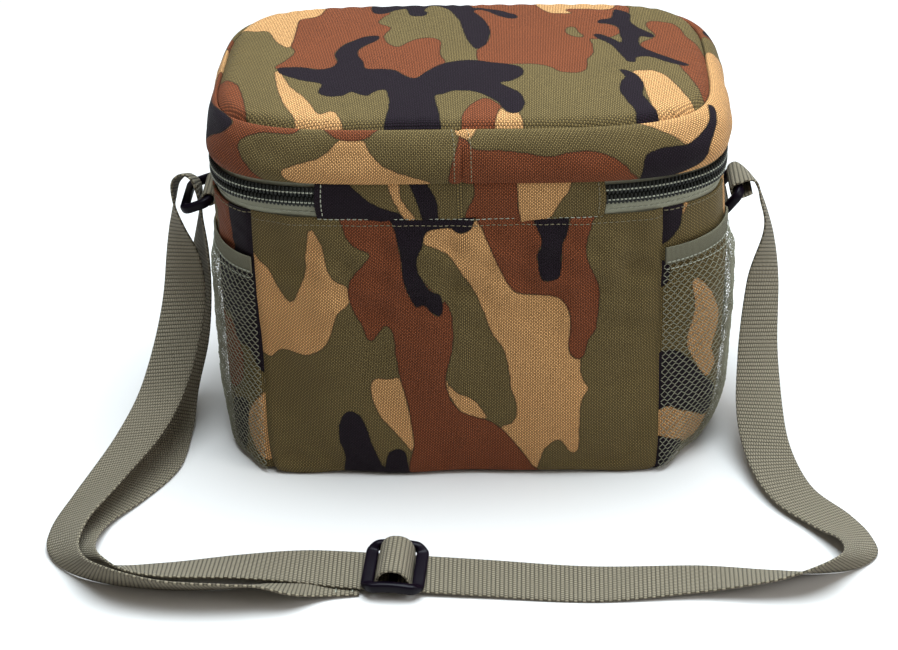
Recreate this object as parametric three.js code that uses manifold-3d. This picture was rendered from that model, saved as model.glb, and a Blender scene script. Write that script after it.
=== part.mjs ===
// Soft insulated cooler bag: a rounded box of fabric with a foam and foil lining, a zipped lid hinged on a
// fabric strip, mesh side pockets, and a shoulder strap held by two plastic rings and one slide adjuster.
//
// Frame: millimetres, +Z up, origin at the middle of the bag's underside. -Y is the side with the lid hinge,
// +X is to the right of somebody who looks at that side.
import * as THREE from 'three';
import { mergeVertices } from 'three/addons/utils/BufferGeometryUtils.js';
import Module from 'manifold-3d';

const wasm = await Module();
wasm.setup();

// ---------------------------------------------------------------- driving dimensions
const GAP = 0.3; // clearance between neighbouring solids
const CORNER_POWER = 4.3; // exponent of the superellipse that every horizontal outline follows

const BODY = { a: 128.2, b: 83 }; // half width and half depth of the outer fabric
const BODY_TOP = 152.5;
const FABRIC = 1.2; // outer fabric thickness
const FOAM = 5;
const LINER = 0.8;
const FRONT_SEAM_X = 100; // the front and back panels run between seams at plus and minus this x
const HINGE_HALF = 70; // half length of the fabric strip that hinges the lid

const ZIP = { a: 129.5, b: 84 };
const TAPE = 0.8;
const COIL_DEPTH = 1.6;
const COIL_MIDDLE = 164; // height at which the two halves of the coil meet
const COIL_HALF = 5.2; // height of one half of the coil

const LID = { a: 132.5, b: 85.5 };
const LID_BOTTOM = 172.2;
const LID_SEAM = 199.2; // height of the seam between the lid's side band and its top
const LID_SEAM_INSET = 8;
const LID_CROWN = 4.3;

const RIM_TOP = 126; // top of the elastic binding on the mesh pockets
const RIM_HEIGHT = 9.5;
const MESH = 0.8;
const MESH_BULGE = 5;

const WEBBING = { width: 25, thickness: 1.3 };
const RING = { width: 35.5, depth: 18.4, bar: 4.4, edge: 0.8, reach: 13.9 };
const RING_LEFT = { inner: [-134.9, 127.5], outer: [-148.0, 122.8] }; // bar centres, x and z
const RING_RIGHT = { inner: [134.9, 118.5], outer: [143.4, 129.5] };
const TAB = { width: 25, thickness: 1.3, bore: 2.9, root: 139 };

const SLIDER = { length: 15, height: 12.6, plate: 1.4, offset: 9.5 };
const PULL = { length: 26, width: 7.4, thickness: 1.6, hole: 5, clear: 1.9 };
const ARCH = { half: 4.6, post: 1.2, halfWidth: 1.4, rise: 2.7, thickness: 1.2 };

const GLIDE = { width: 33.6, length: 31, thickness: 3.6, window: 8.5, slot: 26.4, bar: 4.6, lift: 1.1 };
const GLIDE_AT = [-33, -172, 4.4]; // centre of the webbing under the adjuster
const GLIDE_ALONG = [95, -6.5, -2.5]; // the straight stretch of webbing that the adjuster slides on
const GLIDE_ACROSS = [0, 0.993, 0.12];

// The strap's middle line, and the direction across its width, from the sewn end in the right ring, down to
// the floor, along the front, up through the left ring and back to the adjuster.
const STRAP = [
  [150.2, 0, 127.9, 0, 1, 0], // free end of the fold round the right ring
  [146.6, 0, 126.1, 0, 1, 0],
  [142.9, 0, 125.2, 0, 1, 0],
  [140.1, 0, 126.6, 0, 1, 0],
  [139.1, 0, 129.6, 0, 1, 0],
  [140.3, 0, 132.6, 0, 1, 0],
  [143.4, 0, 133.8, 0, 1, 0],
  [148, 0, 132.9, 0, 0.98, -0.2],
  [152.9, -0.5, 128.9, 0.05, 0.92, -0.4], // right run, twisting as it hangs
  [156.6, -1, 118.5, 0.15, 0.88, -0.45],
  [161, 1, 99.7, 0.26, 0.85, -0.46],
  [158.6, -6, 72, 0.74, 0.59, -0.34],
  [154.9, -31, 39, 0.91, 0.36, -0.22],
  [155.4, -74, 14.5, 0.99, -0.05, -0.03],
  [166, -106, 4.4, 0.9, 0.42, -0.05],
  [184, -130, 3.4, 0.78, 0.6, -0.14],
  [192.6, -146, 5.6, 0.73, 0.58, -0.36], // right turn on the floor
  [194.1, -160, 7, 0.74, 0.46, -0.49],
  [186, -172, 9.4, 0.5, 0.55, -0.67],
  [171, -177.6, 9, 0.22, 0.72, -0.66],
  [152, -178.4, 6.6, 0.1, 0.88, -0.46],
  [115, -176, 2.8, 0.05, 0.99, -0.13], // front run
  [62, -178.5, 1.9, 0.02, 0.995, 0.08],
  [10, -175, 3.2, 0, 0.993, 0.12],
  [-33, -172, 4.4, 0, 0.993, 0.12], // under the adjuster
  [-60, -170.2, 5.1, 0, 0.993, 0.12],
  [-80, -168, 5.2, 0, 1, 0.02],
  [-110, -167, 4.6, 0, 0.98, -0.18],
  [-148, -171.2, 5.9, -0.1, 0.91, -0.38],
  [-170, -170.5, 7.1, -0.36, 0.76, -0.5], // inner left turn
  [-186.5, -160.5, 6.8, -0.68, 0.55, -0.47],
  [-192.5, -146, 4.8, -0.78, 0.52, -0.32],
  [-190, -121, 2.2, -0.8, 0.6, -0.1],
  [-177, -99, 1.4, -0.86, 0.5, 0],
  [-164.5, -76, 1.4, -0.99, 0.1, 0],
  [-161.5, -40, 3.6, -0.97, 0.22, 0], // inner strand, rising to the left ring
  [-158.5, -18, 17, -0.88, 0.45, -0.1],
  [-152.5, -4, 38, -0.82, 0.56, -0.1],
  [-147, 1, 66, -0.65, 0.75, -0.12],
  [-143.2, 1, 93, -0.42, 0.9, -0.14],
  [-141.4, 0, 115, -0.16, 0.97, -0.18],
  [-141.6, 0, 127, -0.05, 0.95, -0.3], // slack loop over the left ring
  [-143.6, 0, 133.4, 0, 0.9, -0.43],
  [-148.4, 0, 136.2, 0, 0.9, -0.43],
  [-153.4, 0, 132.4, 0, 0.9, -0.43],
  [-155.4, 0, 121, -0.12, 0.9, -0.4],
  [-155.2, -1, 107, -0.42, 0.82, -0.38], // outer strand, down to the floor
  [-153, -4, 88, -0.82, 0.5, -0.27],
  [-153.4, -13, 65, -0.98, 0.15, -0.12],
  [-161.2, -44, 35, -1, -0.1, -0.02],
  [-170.5, -76, 24, -0.97, -0.14, 0],
  [-187.5, -115, 15.5, -0.93, -0.15, -0.2],
  [-198, -138, 10.2, -0.84, 0.2, -0.44], // outer left turn
  [-198.6, -155, 8.7, -0.76, 0.4, -0.52],
  [-190, -170.5, 9.7, -0.55, 0.5, -0.67],
  [-172, -182, 10.8, -0.22, 0.58, -0.78],
  [-145, -188.2, 9.9, -0.03, 0.69, -0.72],
  [-115, -189, 9, 0, 0.75, -0.66],
  [-96, -181, 4.6, 0, 0.93, -0.3],
  [-80, -171, 1.5, 0, 1, -0.05],
  [-56, -168, 1.1, 0, 1, 0], // sewn end, beside the adjuster
];

// ---------------------------------------------------------------- small helpers
const material = (color, roughness, metalness = 0) =>
  new THREE.MeshStandardMaterial({ color, roughness, metalness });

const FABRIC_LOOK = () => material(0x5b5236, 0.9);
const WEBBING_LOOK = () => material(0x75705e, 0.9);
const PLASTIC_LOOK = () => material(0x121015, 0.35);
const METAL_LOOK = () => material(0x3a3a3c, 0.35, 1);
const FOAM_LOOK = () => material(0xe8e6de, 1);
const FOIL_LOOK = () => material(0xb9bcc0, 0.3, 0.8);

const bag = new THREE.Group();

function addPiece(name, geometry, look, parent = bag) {
  const mesh = new THREE.Mesh(geometry, look);
  mesh.name = name;
  parent.add(mesh);
  return mesh;
}

/** Makes one closed solid from points and triangles, turned so that its faces point outwards. */
function closedSolid(points, triangles) {
  let volume = 0;
  for (const [i, j, k] of triangles) volume += points[i].dot(points[j].clone().cross(points[k]));
  const faces = volume < 0 ? triangles.map(([i, j, k]) => [i, k, j]) : triangles;
  const geometry = new THREE.BufferGeometry();
  geometry.setAttribute('position', new THREE.Float32BufferAttribute(points.flatMap((p) => p.toArray()), 3));
  geometry.setIndex(faces.flat());
  return geometry;
}

/** Keeps only merged positions, so that a three.js primitive is one closed body. */
function welded(geometry) {
  geometry.deleteAttribute('normal');
  geometry.deleteAttribute('uv');
  return mergeVertices(geometry, 1e-4);
}

// ---------------------------------------------------------------- outline of the bag
/** Point of a superellipse with half axes a and b at an angle. */
function outlinePoint(a, b, angle) {
  const c = Math.cos(angle);
  const s = Math.sin(angle);
  const power = 2 / CORNER_POWER;
  return [Math.sign(c) * a * Math.abs(c) ** power, Math.sign(s) * b * Math.abs(s) ** power];
}

/** Angle at which the body outline crosses x, on the back (side = 1) or the front (side = -1). */
function angleAtX(x, side) {
  const angle = Math.acos(Math.sign(x) * (Math.abs(x) / BODY.a) ** (CORNER_POWER / 2));
  return side > 0 ? angle : 2 * Math.PI - angle;
}

/** Angles between two borders, spaced so that no facet is longer than 26 mm or turns more than 9 degrees. */
function spacedAngles(from, to) {
  const fine = 2000;
  const longest = 26;
  const sharpest = THREE.MathUtils.degToRad(9);
  const at = (i) => new THREE.Vector2(...outlinePoint(BODY.a, BODY.b, from + ((to - from) * i) / fine));
  const cost = [0];
  for (let i = 1; i < fine; i += 1) {
    const before = at(i).sub(at(i - 1));
    const after = at(i + 1).sub(at(i));
    const turn = Math.abs(before.angleTo(after));
    cost.push(cost[i - 1] + before.length() / longest + turn / sharpest);
  }
  const steps = Math.max(2, Math.ceil(cost[fine - 1]));
  const angles = [];
  let i = 0;
  for (let k = 0; k < steps; k += 1) {
    while (cost[i] < (cost[fine - 1] * k) / steps) i += 1;
    angles.push(from + ((to - from) * i) / fine);
  }
  return angles;
}

// The borders go round from the back right seam, by the left side and the front, to the right side.
const BORDERS = {
  backRight: angleAtX(FRONT_SEAM_X, 1),
  backLeft: angleAtX(-FRONT_SEAM_X, 1),
  frontLeft: angleAtX(-FRONT_SEAM_X, -1),
  hingeLeft: angleAtX(-HINGE_HALF, -1),
  hingeRight: angleAtX(HINGE_HALF, -1),
  frontRight: angleAtX(FRONT_SEAM_X, -1),
};
const ORDER = ['backRight', 'backLeft', 'frontLeft', 'hingeLeft', 'hingeRight', 'frontRight'];
const ANGLES = [];
const STATION = {};
ORDER.forEach((name, i) => {
  STATION[name] = ANGLES.length;
  const next = i + 1 < ORDER.length ? BORDERS[ORDER[i + 1]] : BORDERS.backRight + 2 * Math.PI;
  ANGLES.push(...spacedAngles(BORDERS[name], next));
});

/** Angles from one border to another, going round; a small trim leaves the gap between panels. */
function anglesBetween(from, to, trim = 0.002) {
  const count = (STATION[to] - STATION[from] + ANGLES.length) % ANGLES.length || ANGLES.length;
  const list = [];
  for (let i = 0; i <= count; i += 1) {
    const k = STATION[from] + i;
    list.push(ANGLES[k % ANGLES.length] + (k >= ANGLES.length ? 2 * Math.PI : 0));
  }
  list[0] += trim;
  list[list.length - 1] -= trim;
  return list;
}

/** Sweeps a closed [inset, z] profile along part of an outline, with a flat cap at each end. */
function partBand(outline, profile, angles) {
  const n = profile.length;
  const points = [];
  const triangles = [];
  for (const angle of angles) {
    for (const [inset, z] of profile) {
      points.push(new THREE.Vector3(...outlinePoint(outline.a - inset, outline.b - inset, angle), z));
    }
  }
  for (let i = 0; i + 1 < angles.length; i += 1) addStrip(triangles, i * n, (i + 1) * n, n);
  const last = (angles.length - 1) * n;
  for (const [i, j, k] of capTriangles(profile)) triangles.push([i, k, j], [last + i, last + j, last + k]);
  return closedSolid(points, triangles);
}

/** Two triangles for each side of a strip between two rings of n points. */
function addStrip(triangles, first, second, n) {
  for (let j = 0; j < n; j += 1) {
    const k = (j + 1) % n;
    triangles.push([first + j, first + k, second + k], [first + j, second + k, second + j]);
  }
}

/** Triangles that fill a profile, turned the same way round as the profile itself. */
function capTriangles(profile) {
  const flat = profile.map(([x, y]) => new THREE.Vector2(x, y));
  const clockwise = THREE.ShapeUtils.isClockWise(flat);
  return THREE.ShapeUtils.triangulateShape(flat, []).map(([i, j, k]) =>
    (THREE.ShapeUtils.isClockWise([flat[i], flat[j], flat[k]]) === clockwise ? [i, j, k] : [i, k, j]));
}

/** Sweeps a closed [inset, z] profile all the way round an outline. */
function fullBand(outline, profile) {
  const n = profile.length;
  const points = [];
  const triangles = [];
  for (const angle of ANGLES) {
    for (const [inset, z] of profile) {
      points.push(new THREE.Vector3(...outlinePoint(outline.a - inset, outline.b - inset, angle), z));
    }
  }
  for (let i = 0; i < ANGLES.length; i += 1) addStrip(triangles, i * n, ((i + 1) % ANGLES.length) * n, n);
  return closedSolid(points, triangles);
}

/** A plate, tray or tub: the profile starts and ends on the middle axis, at heights first and last. */
function dish(outline, first, profile, last) {
  const rings = profile.map(([inset, z]) =>
    ANGLES.map((angle) => new THREE.Vector3(...outlinePoint(outline.a - inset, outline.b - inset, angle), z)));
  const m = ANGLES.length;
  const points = [new THREE.Vector3(0, 0, first), ...rings.flat(), new THREE.Vector3(0, 0, last)];
  const end = points.length - 1;
  const triangles = [];
  for (let i = 0; i < m; i += 1) {
    const j = (i + 1) % m;
    triangles.push([0, 1 + i, 1 + j]);
    for (let r = 0; r + 1 < rings.length; r += 1) {
      const upper = 1 + r * m;
      const lower = upper + m;
      triangles.push([upper + i, lower + i, lower + j], [upper + i, lower + j, upper + j]);
    }
    const rim = 1 + (rings.length - 1) * m;
    triangles.push([rim + j, rim + i, end]);
  }
  return closedSolid(points, triangles);
}

const wallProfile = (outer, inner, low, high) => [[outer, low], [outer, high], [inner, high], [inner, low]];

// ---------------------------------------------------------------- body of the bag
function buildShell() {
  const wall = wallProfile(0, FABRIC, FABRIC + GAP, BODY_TOP);
  const panels = {
    back_panel: ['backRight', 'backLeft'],
    side_panel_left: ['backLeft', 'frontLeft'],
    front_panel: ['frontLeft', 'frontRight'],
    side_panel_right: ['frontRight', 'backRight'],
  };
  for (const [name, [from, to]] of Object.entries(panels)) {
    addPiece(name, partBand(BODY, wall, anglesBetween(from, to)), FABRIC_LOOK());
  }
  addPiece('bottom_panel', dish(BODY, FABRIC, [[0, FABRIC], [0, 0]], 0), FABRIC_LOOK());
}

function buildLining() {
  const foamOuter = FABRIC + GAP;
  const foamInner = foamOuter + FOAM;
  const floor = FABRIC + GAP;
  const floorTop = floor + FOAM;
  const foamTop = BODY_TOP - LINER - GAP;
  addPiece('insulation_base', dish(BODY, floorTop, [[foamOuter, floorTop], [foamOuter, floor]], floor), FOAM_LOOK());
  addPiece('insulation_wall', fullBand(BODY, wallProfile(foamOuter, foamInner, floorTop + GAP, foamTop)), FOAM_LOOK());
  const skin = foamInner + GAP;
  const tub = [
    [skin, floorTop + GAP],
    [skin, BODY_TOP - LINER],
    [foamOuter, BODY_TOP - LINER],
    [foamOuter, BODY_TOP],
    [skin + LINER, BODY_TOP],
    [skin + LINER, floorTop + GAP + LINER],
  ];
  addPiece('inner_liner', dish(BODY, floorTop + GAP, tub, floorTop + GAP + LINER), FOIL_LOOK());
}

function buildZip() {
  const angles = anglesBetween('hingeRight', 'hingeLeft', 0.006);
  const coil = (low, high) => wallProfile(-0.5, COIL_DEPTH - 0.5, low, high);
  const tape = (low, high) => wallProfile(COIL_DEPTH, COIL_DEPTH + TAPE, low, high);
  const tapeLook = () => material(0x6b6853, 0.9);
  const coilLook = () => material(0x23231f, 0.5);
  const half = GAP / 2;
  addPiece('zipper_tape_lower', partBand(ZIP, tape(BODY_TOP + GAP, COIL_MIDDLE - 2), angles), tapeLook());
  addPiece('zipper_tape_upper', partBand(ZIP, tape(COIL_MIDDLE + 2, LID_BOTTOM - GAP), angles), tapeLook());
  addPiece('zipper_coil_lower', partBand(ZIP, coil(COIL_MIDDLE - COIL_HALF, COIL_MIDDLE - half), angles), coilLook());
  addPiece('zipper_coil_upper', partBand(ZIP, coil(COIL_MIDDLE + half, COIL_MIDDLE + COIL_HALF), angles), coilLook());
  const strip = wallProfile(0.4, 0.4 + FABRIC, BODY_TOP + GAP, LID_BOTTOM - GAP);
  addPiece('hinge_strip', partBand(ZIP, strip, anglesBetween('hingeLeft', 'hingeRight', 0.006)), FABRIC_LOOK());
}

/** Mesh sheet over one side, close to the panel at its edges and standing off it in between. */
function meshSheet(angles) {
  const levels = [FABRIC + GAP, 25, 55, 85, 104, RIM_TOP - RIM_HEIGHT - GAP];
  const heightShare = [0, 0.8, 1, 0.75, 0.15, 0];
  const base = 0.4;
  const points = [];
  const triangles = [];
  const n = levels.length;
  for (const skin of [0, MESH]) {
    angles.forEach((angle, i) => {
      const along = i / (angles.length - 1);
      const share = Math.sin(Math.PI * along) ** 0.7;
      levels.forEach((z, j) => {
        const off = base + skin + MESH_BULGE * share * heightShare[j];
        points.push(new THREE.Vector3(...outlinePoint(BODY.a + off, BODY.b + off, angle), z));
      });
    });
  }
  const sheet = angles.length * n;
  const quad = (a, b, c, d) => triangles.push([a, b, c], [a, c, d]);
  for (let i = 0; i + 1 < angles.length; i += 1) {
    const here = i * n;
    const next = here + n;
    for (let j = 0; j + 1 < n; j += 1) {
      quad(here + j, here + j + 1, next + j + 1, next + j);
      quad(sheet + here + j, sheet + next + j, sheet + next + j + 1, sheet + here + j + 1);
    }
    quad(here, next, sheet + next, sheet + here);
    quad(here + n - 1, sheet + here + n - 1, sheet + next + n - 1, next + n - 1);
  }
  const last = (angles.length - 1) * n;
  for (let j = 0; j + 1 < n; j += 1) {
    quad(j, sheet + j, sheet + j + 1, j + 1);
    quad(last + j, last + j + 1, sheet + last + j + 1, sheet + last + j);
  }
  return closedSolid(points, triangles);
}

function buildPockets() {
  const rim = wallProfile(-1.6, -0.4, RIM_TOP - RIM_HEIGHT, RIM_TOP);
  const sides = { left: ['backLeft', 'frontLeft'], right: ['frontRight', 'backRight'] };
  for (const [side, [from, to]] of Object.entries(sides)) {
    const angles = anglesBetween(from, to, 0.01);
    addPiece(`mesh_pocket_${side}`, meshSheet(angles), material(0x6f6b55, 0.9));
    addPiece(`pocket_binding_${side}`, partBand(BODY, rim, angles), material(0x6b6857, 0.9));
  }
}

// ---------------------------------------------------------------- lid
function buildLid() {
  const band = [
    [0.6, LID_BOTTOM],
    [-0.8, LID_BOTTOM + 10.8],
    [1.8, LID_SEAM - 4.2],
    [LID_SEAM_INSET, LID_SEAM],
    [LID_SEAM_INSET, LID_SEAM - FABRIC],
    [3.0, LID_SEAM - 5.2],
    [0.4, LID_BOTTOM + 10.8],
    [1.8, LID_BOTTOM],
  ];
  addPiece('lid_gusset', fullBand(LID, band), FABRIC_LOOK());

  const edge = LID_SEAM_INSET + GAP;
  const crown = (inset) => LID_SEAM + LID_CROWN * (1 - ((LID.b - inset) / (LID.b - edge)) ** 2);
  const insets = [60, 40, 24, edge];
  const outside = insets.map((inset) => [inset, crown(inset)]);
  const inside = insets.map((inset) => [inset, crown(inset) - FABRIC]).reverse();
  const top = dish(LID, LID_SEAM + LID_CROWN, [...outside, ...inside], LID_SEAM + LID_CROWN - FABRIC);
  addPiece('lid_top_panel', top, FABRIC_LOOK());

  const foamBottom = LID_BOTTOM + 1;
  const foamSide = 3.4;
  const foamTop = LID_SEAM - 2.4;
  const tray = [
    [10, foamTop - 0.4],
    [foamSide, LID_SEAM - 11],
    [foamSide, foamBottom],
    [foamSide + FOAM, foamBottom],
    [foamSide + FOAM, LID_SEAM - 13],
    [12.4, foamTop - FOAM - 0.4],
  ];
  addPiece('lid_insulation', dish(LID, foamTop, tray, foamTop - FOAM), FOAM_LOOK());

  const skin = foamSide + FOAM + GAP;
  const under = foamTop - FOAM - GAP;
  const liner = [
    [12.8, under - 0.5],
    [skin, LID_SEAM - 13.4],
    [skin, foamBottom],
    [skin + LINER, foamBottom],
    [skin + LINER, LID_SEAM - 13.6],
    [13.4, under - 0.5 - LINER],
  ];
  addPiece('lid_liner', dish(LID, under, liner, under - LINER), FOIL_LOOK());
}

// ---------------------------------------------------------------- zip sliders
/** Joins overlapping closed solids into one. */
function joined(...geometries) {
  const solids = geometries.map((geometry) => new wasm.Manifold(new wasm.Mesh({
    numProp: 3,
    vertProperties: new Float32Array(geometry.attributes.position.array),
    triVerts: new Uint32Array(geometry.index.array),
  })));
  const mesh = solids.reduce((a, b) => a.add(b)).getMesh();
  const geometry = new THREE.BufferGeometry();
  geometry.setAttribute('position', new THREE.BufferAttribute(new Float32Array(mesh.vertProperties), 3));
  geometry.setIndex(Array.from(mesh.triVerts));
  return geometry;
}

/** Extrudes a flat shape along the third of three given directions, starting at an origin. */
function extruded(shape, depth, directions, origin, options = {}) {
  const geometry = new THREE.ExtrudeGeometry(shape, { depth, bevelEnabled: false, curveSegments: 6, ...options });
  const frame = new THREE.Matrix4().makeBasis(...directions.map((d) => new THREE.Vector3(...d)));
  geometry.applyMatrix4(frame.setPosition(...origin));
  return welded(geometry);
}

const polygon = (points) => new THREE.Shape(points.map(([x, y]) => new THREE.Vector2(x, y)));

const X = [1, 0, 0];
const Y = [0, 1, 0];
const Z = [0, 0, 1];
const PLATE_IN = ZIP.b + 1; // the coil's outer face plus running clearance
const PLATE_OUT = PLATE_IN + SLIDER.plate;

/** Slider body: an outer plate over the coil, a lower lip, and an arch that holds the pull. */
function sliderGeometry() {
  const lipIn = ZIP.b - COIL_DEPTH + GAP;
  const low = COIL_MIDDLE - SLIDER.height / 2;
  const high = COIL_MIDDLE + SLIDER.height / 2;
  const lipTop = COIL_MIDDLE - COIL_HALF - 0.4;
  const section = polygon([
    [lipIn, low], [PLATE_OUT, low], [PLATE_OUT, high], [PLATE_IN, high], [PLATE_IN, lipTop], [lipIn, lipTop],
  ]);
  const block = extruded(section, SLIDER.length, [Y, Z, X], [-SLIDER.length / 2, 0, 0]);
  const root = PLATE_OUT - SLIDER.plate / 2;
  const top = PLATE_OUT + ARCH.rise;
  const inner = ARCH.half - ARCH.post;
  const arch = polygon([
    [-ARCH.half, root], [-ARCH.half, top + ARCH.thickness], [ARCH.half, top + ARCH.thickness],
    [ARCH.half, root], [inner, root], [inner, top], [-inner, top], [-inner, root],
  ]);
  return joined(block, extruded(arch, ARCH.halfWidth * 2, [X, Y, Z], [0, 0, COIL_MIDDLE - ARCH.halfWidth]));
}

/** Pull: a tongue that points along +x, with an eye whose near bar sits under the slider's arch. */
function pullGeometry() {
  const bar = PULL.thickness / 2;
  const half = PULL.width / 2;
  const tip = half * 0.8;
  const tongue = new THREE.Shape();
  tongue.moveTo(-bar, -half);
  tongue.lineTo(PULL.length - tip, -tip);
  tongue.absarc(PULL.length - tip, 0, tip, -Math.PI / 2, Math.PI / 2, false);
  tongue.lineTo(-bar, half);
  tongue.closePath();
  const eyeEnd = bar + PULL.hole;
  const eye = [[bar, -PULL.clear], [bar, PULL.clear], [eyeEnd, PULL.clear], [eyeEnd, -PULL.clear]];
  tongue.holes.push(new THREE.Path(eye.map(([x, y]) => new THREE.Vector2(x, y))));
  return extruded(tongue, PULL.thickness, [X, Z, [0, -1, 0]], [0, bar, 0]);
}

function buildSliders() {
  const pivotY = PLATE_OUT + ARCH.rise / 2;
  for (const [side, sign] of [['left', -1], ['right', 1]]) {
    const slider = new THREE.Group();
    slider.position.set(sign * SLIDER.offset, 0, 0);
    bag.add(slider);
    addPiece(`slider_${side}`, sliderGeometry(), METAL_LOOK(), slider);
    const pull = addPiece(`slider_pull_${side}`, pullGeometry(), METAL_LOOK(), slider);
    pull.position.set(0, pivotY, COIL_MIDDLE);
    pull.rotation.y = sign > 0 ? 0 : Math.PI; // each pull lies away from the other slider
  }
}

// ---------------------------------------------------------------- rings and their tabs
function roundedRectangle(Form, width, height, radius) {
  const w = width / 2 - radius;
  const h = height / 2 - radius;
  const form = new Form();
  form.moveTo(-w, -h - radius);
  form.lineTo(w, -h - radius);
  form.absarc(w, -h, radius, -Math.PI / 2, 0, false);
  form.lineTo(w + radius, h);
  form.absarc(w, h, radius, 0, Math.PI / 2, false);
  form.lineTo(-w, h + radius);
  form.absarc(-w, h, radius, Math.PI / 2, Math.PI, false);
  form.lineTo(-w - radius, -h);
  form.absarc(-w, -h, radius, Math.PI, Math.PI * 1.5, false);
  form.closePath();
  return form;
}

function shiftedPath(path, x) {
  return new THREE.Path(path.getPoints(3).map((p) => new THREE.Vector2(p.x + x, p.y)));
}

/** Rectangular ring in its own frame: x from the tab's bar towards the strap's bar, y along the bars. */
function ringGeometry() {
  const edge = RING.edge;
  const shape = roundedRectangle(THREE.Shape, RING.depth - 2 * edge, RING.width - 2 * edge, 3.2);
  const hole = roundedRectangle(THREE.Path, RING.depth - 2 * RING.bar + 2 * edge, RING.width - 2 * RING.bar + 2 * edge, 1.6);
  shape.holes.push(hole);
  const geometry = new THREE.ExtrudeGeometry(shape, {
    depth: RING.bar - 2 * edge, bevelThickness: edge, bevelSize: edge, bevelSegments: 1, curveSegments: 3,
  });
  geometry.translate(0, 0, edge - RING.bar / 2);
  return welded(geometry);
}

function buildRings() {
  for (const [side, { inner, outer }] of [['left', RING_LEFT], ['right', RING_RIGHT]]) {
    const from = new THREE.Vector3(inner[0], 0, inner[1]);
    const to = new THREE.Vector3(outer[0], 0, outer[1]);
    const along = to.clone().sub(from).normalize();
    const ring = addPiece(`ring_${side}`, ringGeometry(), PLASTIC_LOOK());
    const across = new THREE.Vector3(...Y);
    ring.rotation.setFromRotationMatrix(new THREE.Matrix4().makeBasis(along, across, along.clone().cross(across)));
    ring.position.copy(from).addScaledVector(along, RING.reach / 2);

    const loop = new THREE.Shape();
    loop.absarc(0, 0, TAB.bore + TAB.thickness, 0, 2 * Math.PI, false);
    loop.holes.push(new THREE.Path().absarc(0, 0, TAB.bore, 0, 2 * Math.PI, false));
    const tab = extruded(loop, TAB.width, [X, Z, [0, -1, 0]], [0, TAB.width / 2, 0]);
    addPiece(`ring_loop_${side}`, tab, WEBBING_LOOK()).position.copy(from);

    const root = new THREE.BoxGeometry(TAB.thickness * 1.7, TAB.width, BODY_TOP - GAP - TAB.root);
    const patch = addPiece(`ring_tab_${side}`, welded(root), WEBBING_LOOK());
    const offset = BODY.a + GAP + (TAB.thickness * 1.7) / 2;
    patch.position.set(Math.sign(inner[0]) * offset, 0, (BODY_TOP - GAP + TAB.root) / 2);
  }
}

// ---------------------------------------------------------------- shoulder strap
/** A flat ribbon along stations of a middle point and a direction across the width. */
function ribbonGeometry(stations, width, thickness) {
  const centres = new THREE.CatmullRomCurve3(stations.map(([x, y, z]) => new THREE.Vector3(x, y, z)), false, 'centripetal');
  const across = new THREE.CatmullRomCurve3(
    stations.map(([, , , x, y, z]) => new THREE.Vector3(x, y, z)), false, 'catmullrom', 0.5);
  const cuts = 2; // facets between two stations
  const steps = (stations.length - 1) * cuts;
  const points = [];
  const triangles = [];
  for (let i = 0; i <= steps; i += 1) {
    const t = i / steps;
    const middle = centres.getPoint(t);
    const side = across.getPoint(t).normalize();
    const normal = centres.getTangent(t).cross(side).normalize().multiplyScalar(thickness / 2);
    for (const [u, v] of [[-1, -1], [1, -1], [1, 1], [-1, 1]]) {
      points.push(middle.clone().addScaledVector(side, (u * width) / 2).addScaledVector(normal, v));
    }
  }
  for (let i = 0; i < steps; i += 1) addStrip(triangles, 4 * i, 4 * (i + 1), 4);
  const last = 4 * steps;
  triangles.push([0, 2, 1], [0, 3, 2], [last, last + 1, last + 2], [last, last + 2, last + 3]);
  return closedSolid(points, triangles);
}

/** Slide adjuster: a frame with two windows either side of a middle bar, and the webbing over that bar. */
function buildAdjuster() {
  const along = new THREE.Vector3(...GLIDE_ALONG).normalize();
  const up = along.clone().cross(new THREE.Vector3(...GLIDE_ACROSS)).normalize();
  const glide = new THREE.Group();
  glide.rotation.setFromRotationMatrix(new THREE.Matrix4().makeBasis(along, up.clone().cross(along), up));
  glide.position.set(...GLIDE_AT);
  bag.add(glide);

  const frame = roundedRectangle(THREE.Shape, GLIDE.length, GLIDE.width, 3.5);
  const slot = roundedRectangle(THREE.Path, GLIDE.window, GLIDE.slot, 1.2);
  const slotX = (GLIDE.bar + GLIDE.window) / 2;
  frame.holes.push(shiftedPath(slot, -slotX), shiftedPath(slot, slotX));
  addPiece('triglide', extruded(frame, GLIDE.thickness, [X, Y, Z], [0, 0, GLIDE.lift], { curveSegments: 3 }),
    PLASTIC_LOOK(), glide);

  const foot = GLIDE.lift + GAP;
  const barTop = GLIDE.thickness + GAP;
  const arch = new THREE.Shape();
  arch.absellipse(0, foot, 7.5, barTop + 1.8, 0, Math.PI, false);
  arch.absellipse(0, foot, 6.2, barTop + 0.5, Math.PI, 0, true);
  arch.closePath();
  const bump = extruded(arch, WEBBING.width, [X, Z, [0, -1, 0]], [0, WEBBING.width / 2, 0], { curveSegments: 8 });
  addPiece('triglide_webbing', bump, WEBBING_LOOK(), glide);
}

buildShell();
buildLining();
buildZip();
buildPockets();
buildLid();
buildSliders();
buildRings();
addPiece('shoulder_strap', ribbonGeometry(STRAP, WEBBING.width, WEBBING.thickness), WEBBING_LOOK());
buildAdjuster();

export default bag;
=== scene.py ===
"""Looks of a soft insulated cooler bag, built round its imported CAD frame.

Lengths in this script are millimetres until a mesh is made. +Z is up, and -Y is the side with the lid hinge,
called the front. On every wall, u is the distance round the body's outline from the middle of the front,
towards +X.
"""
import math

import bpy
import numpy as np
from mathutils import Matrix, Vector


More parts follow.
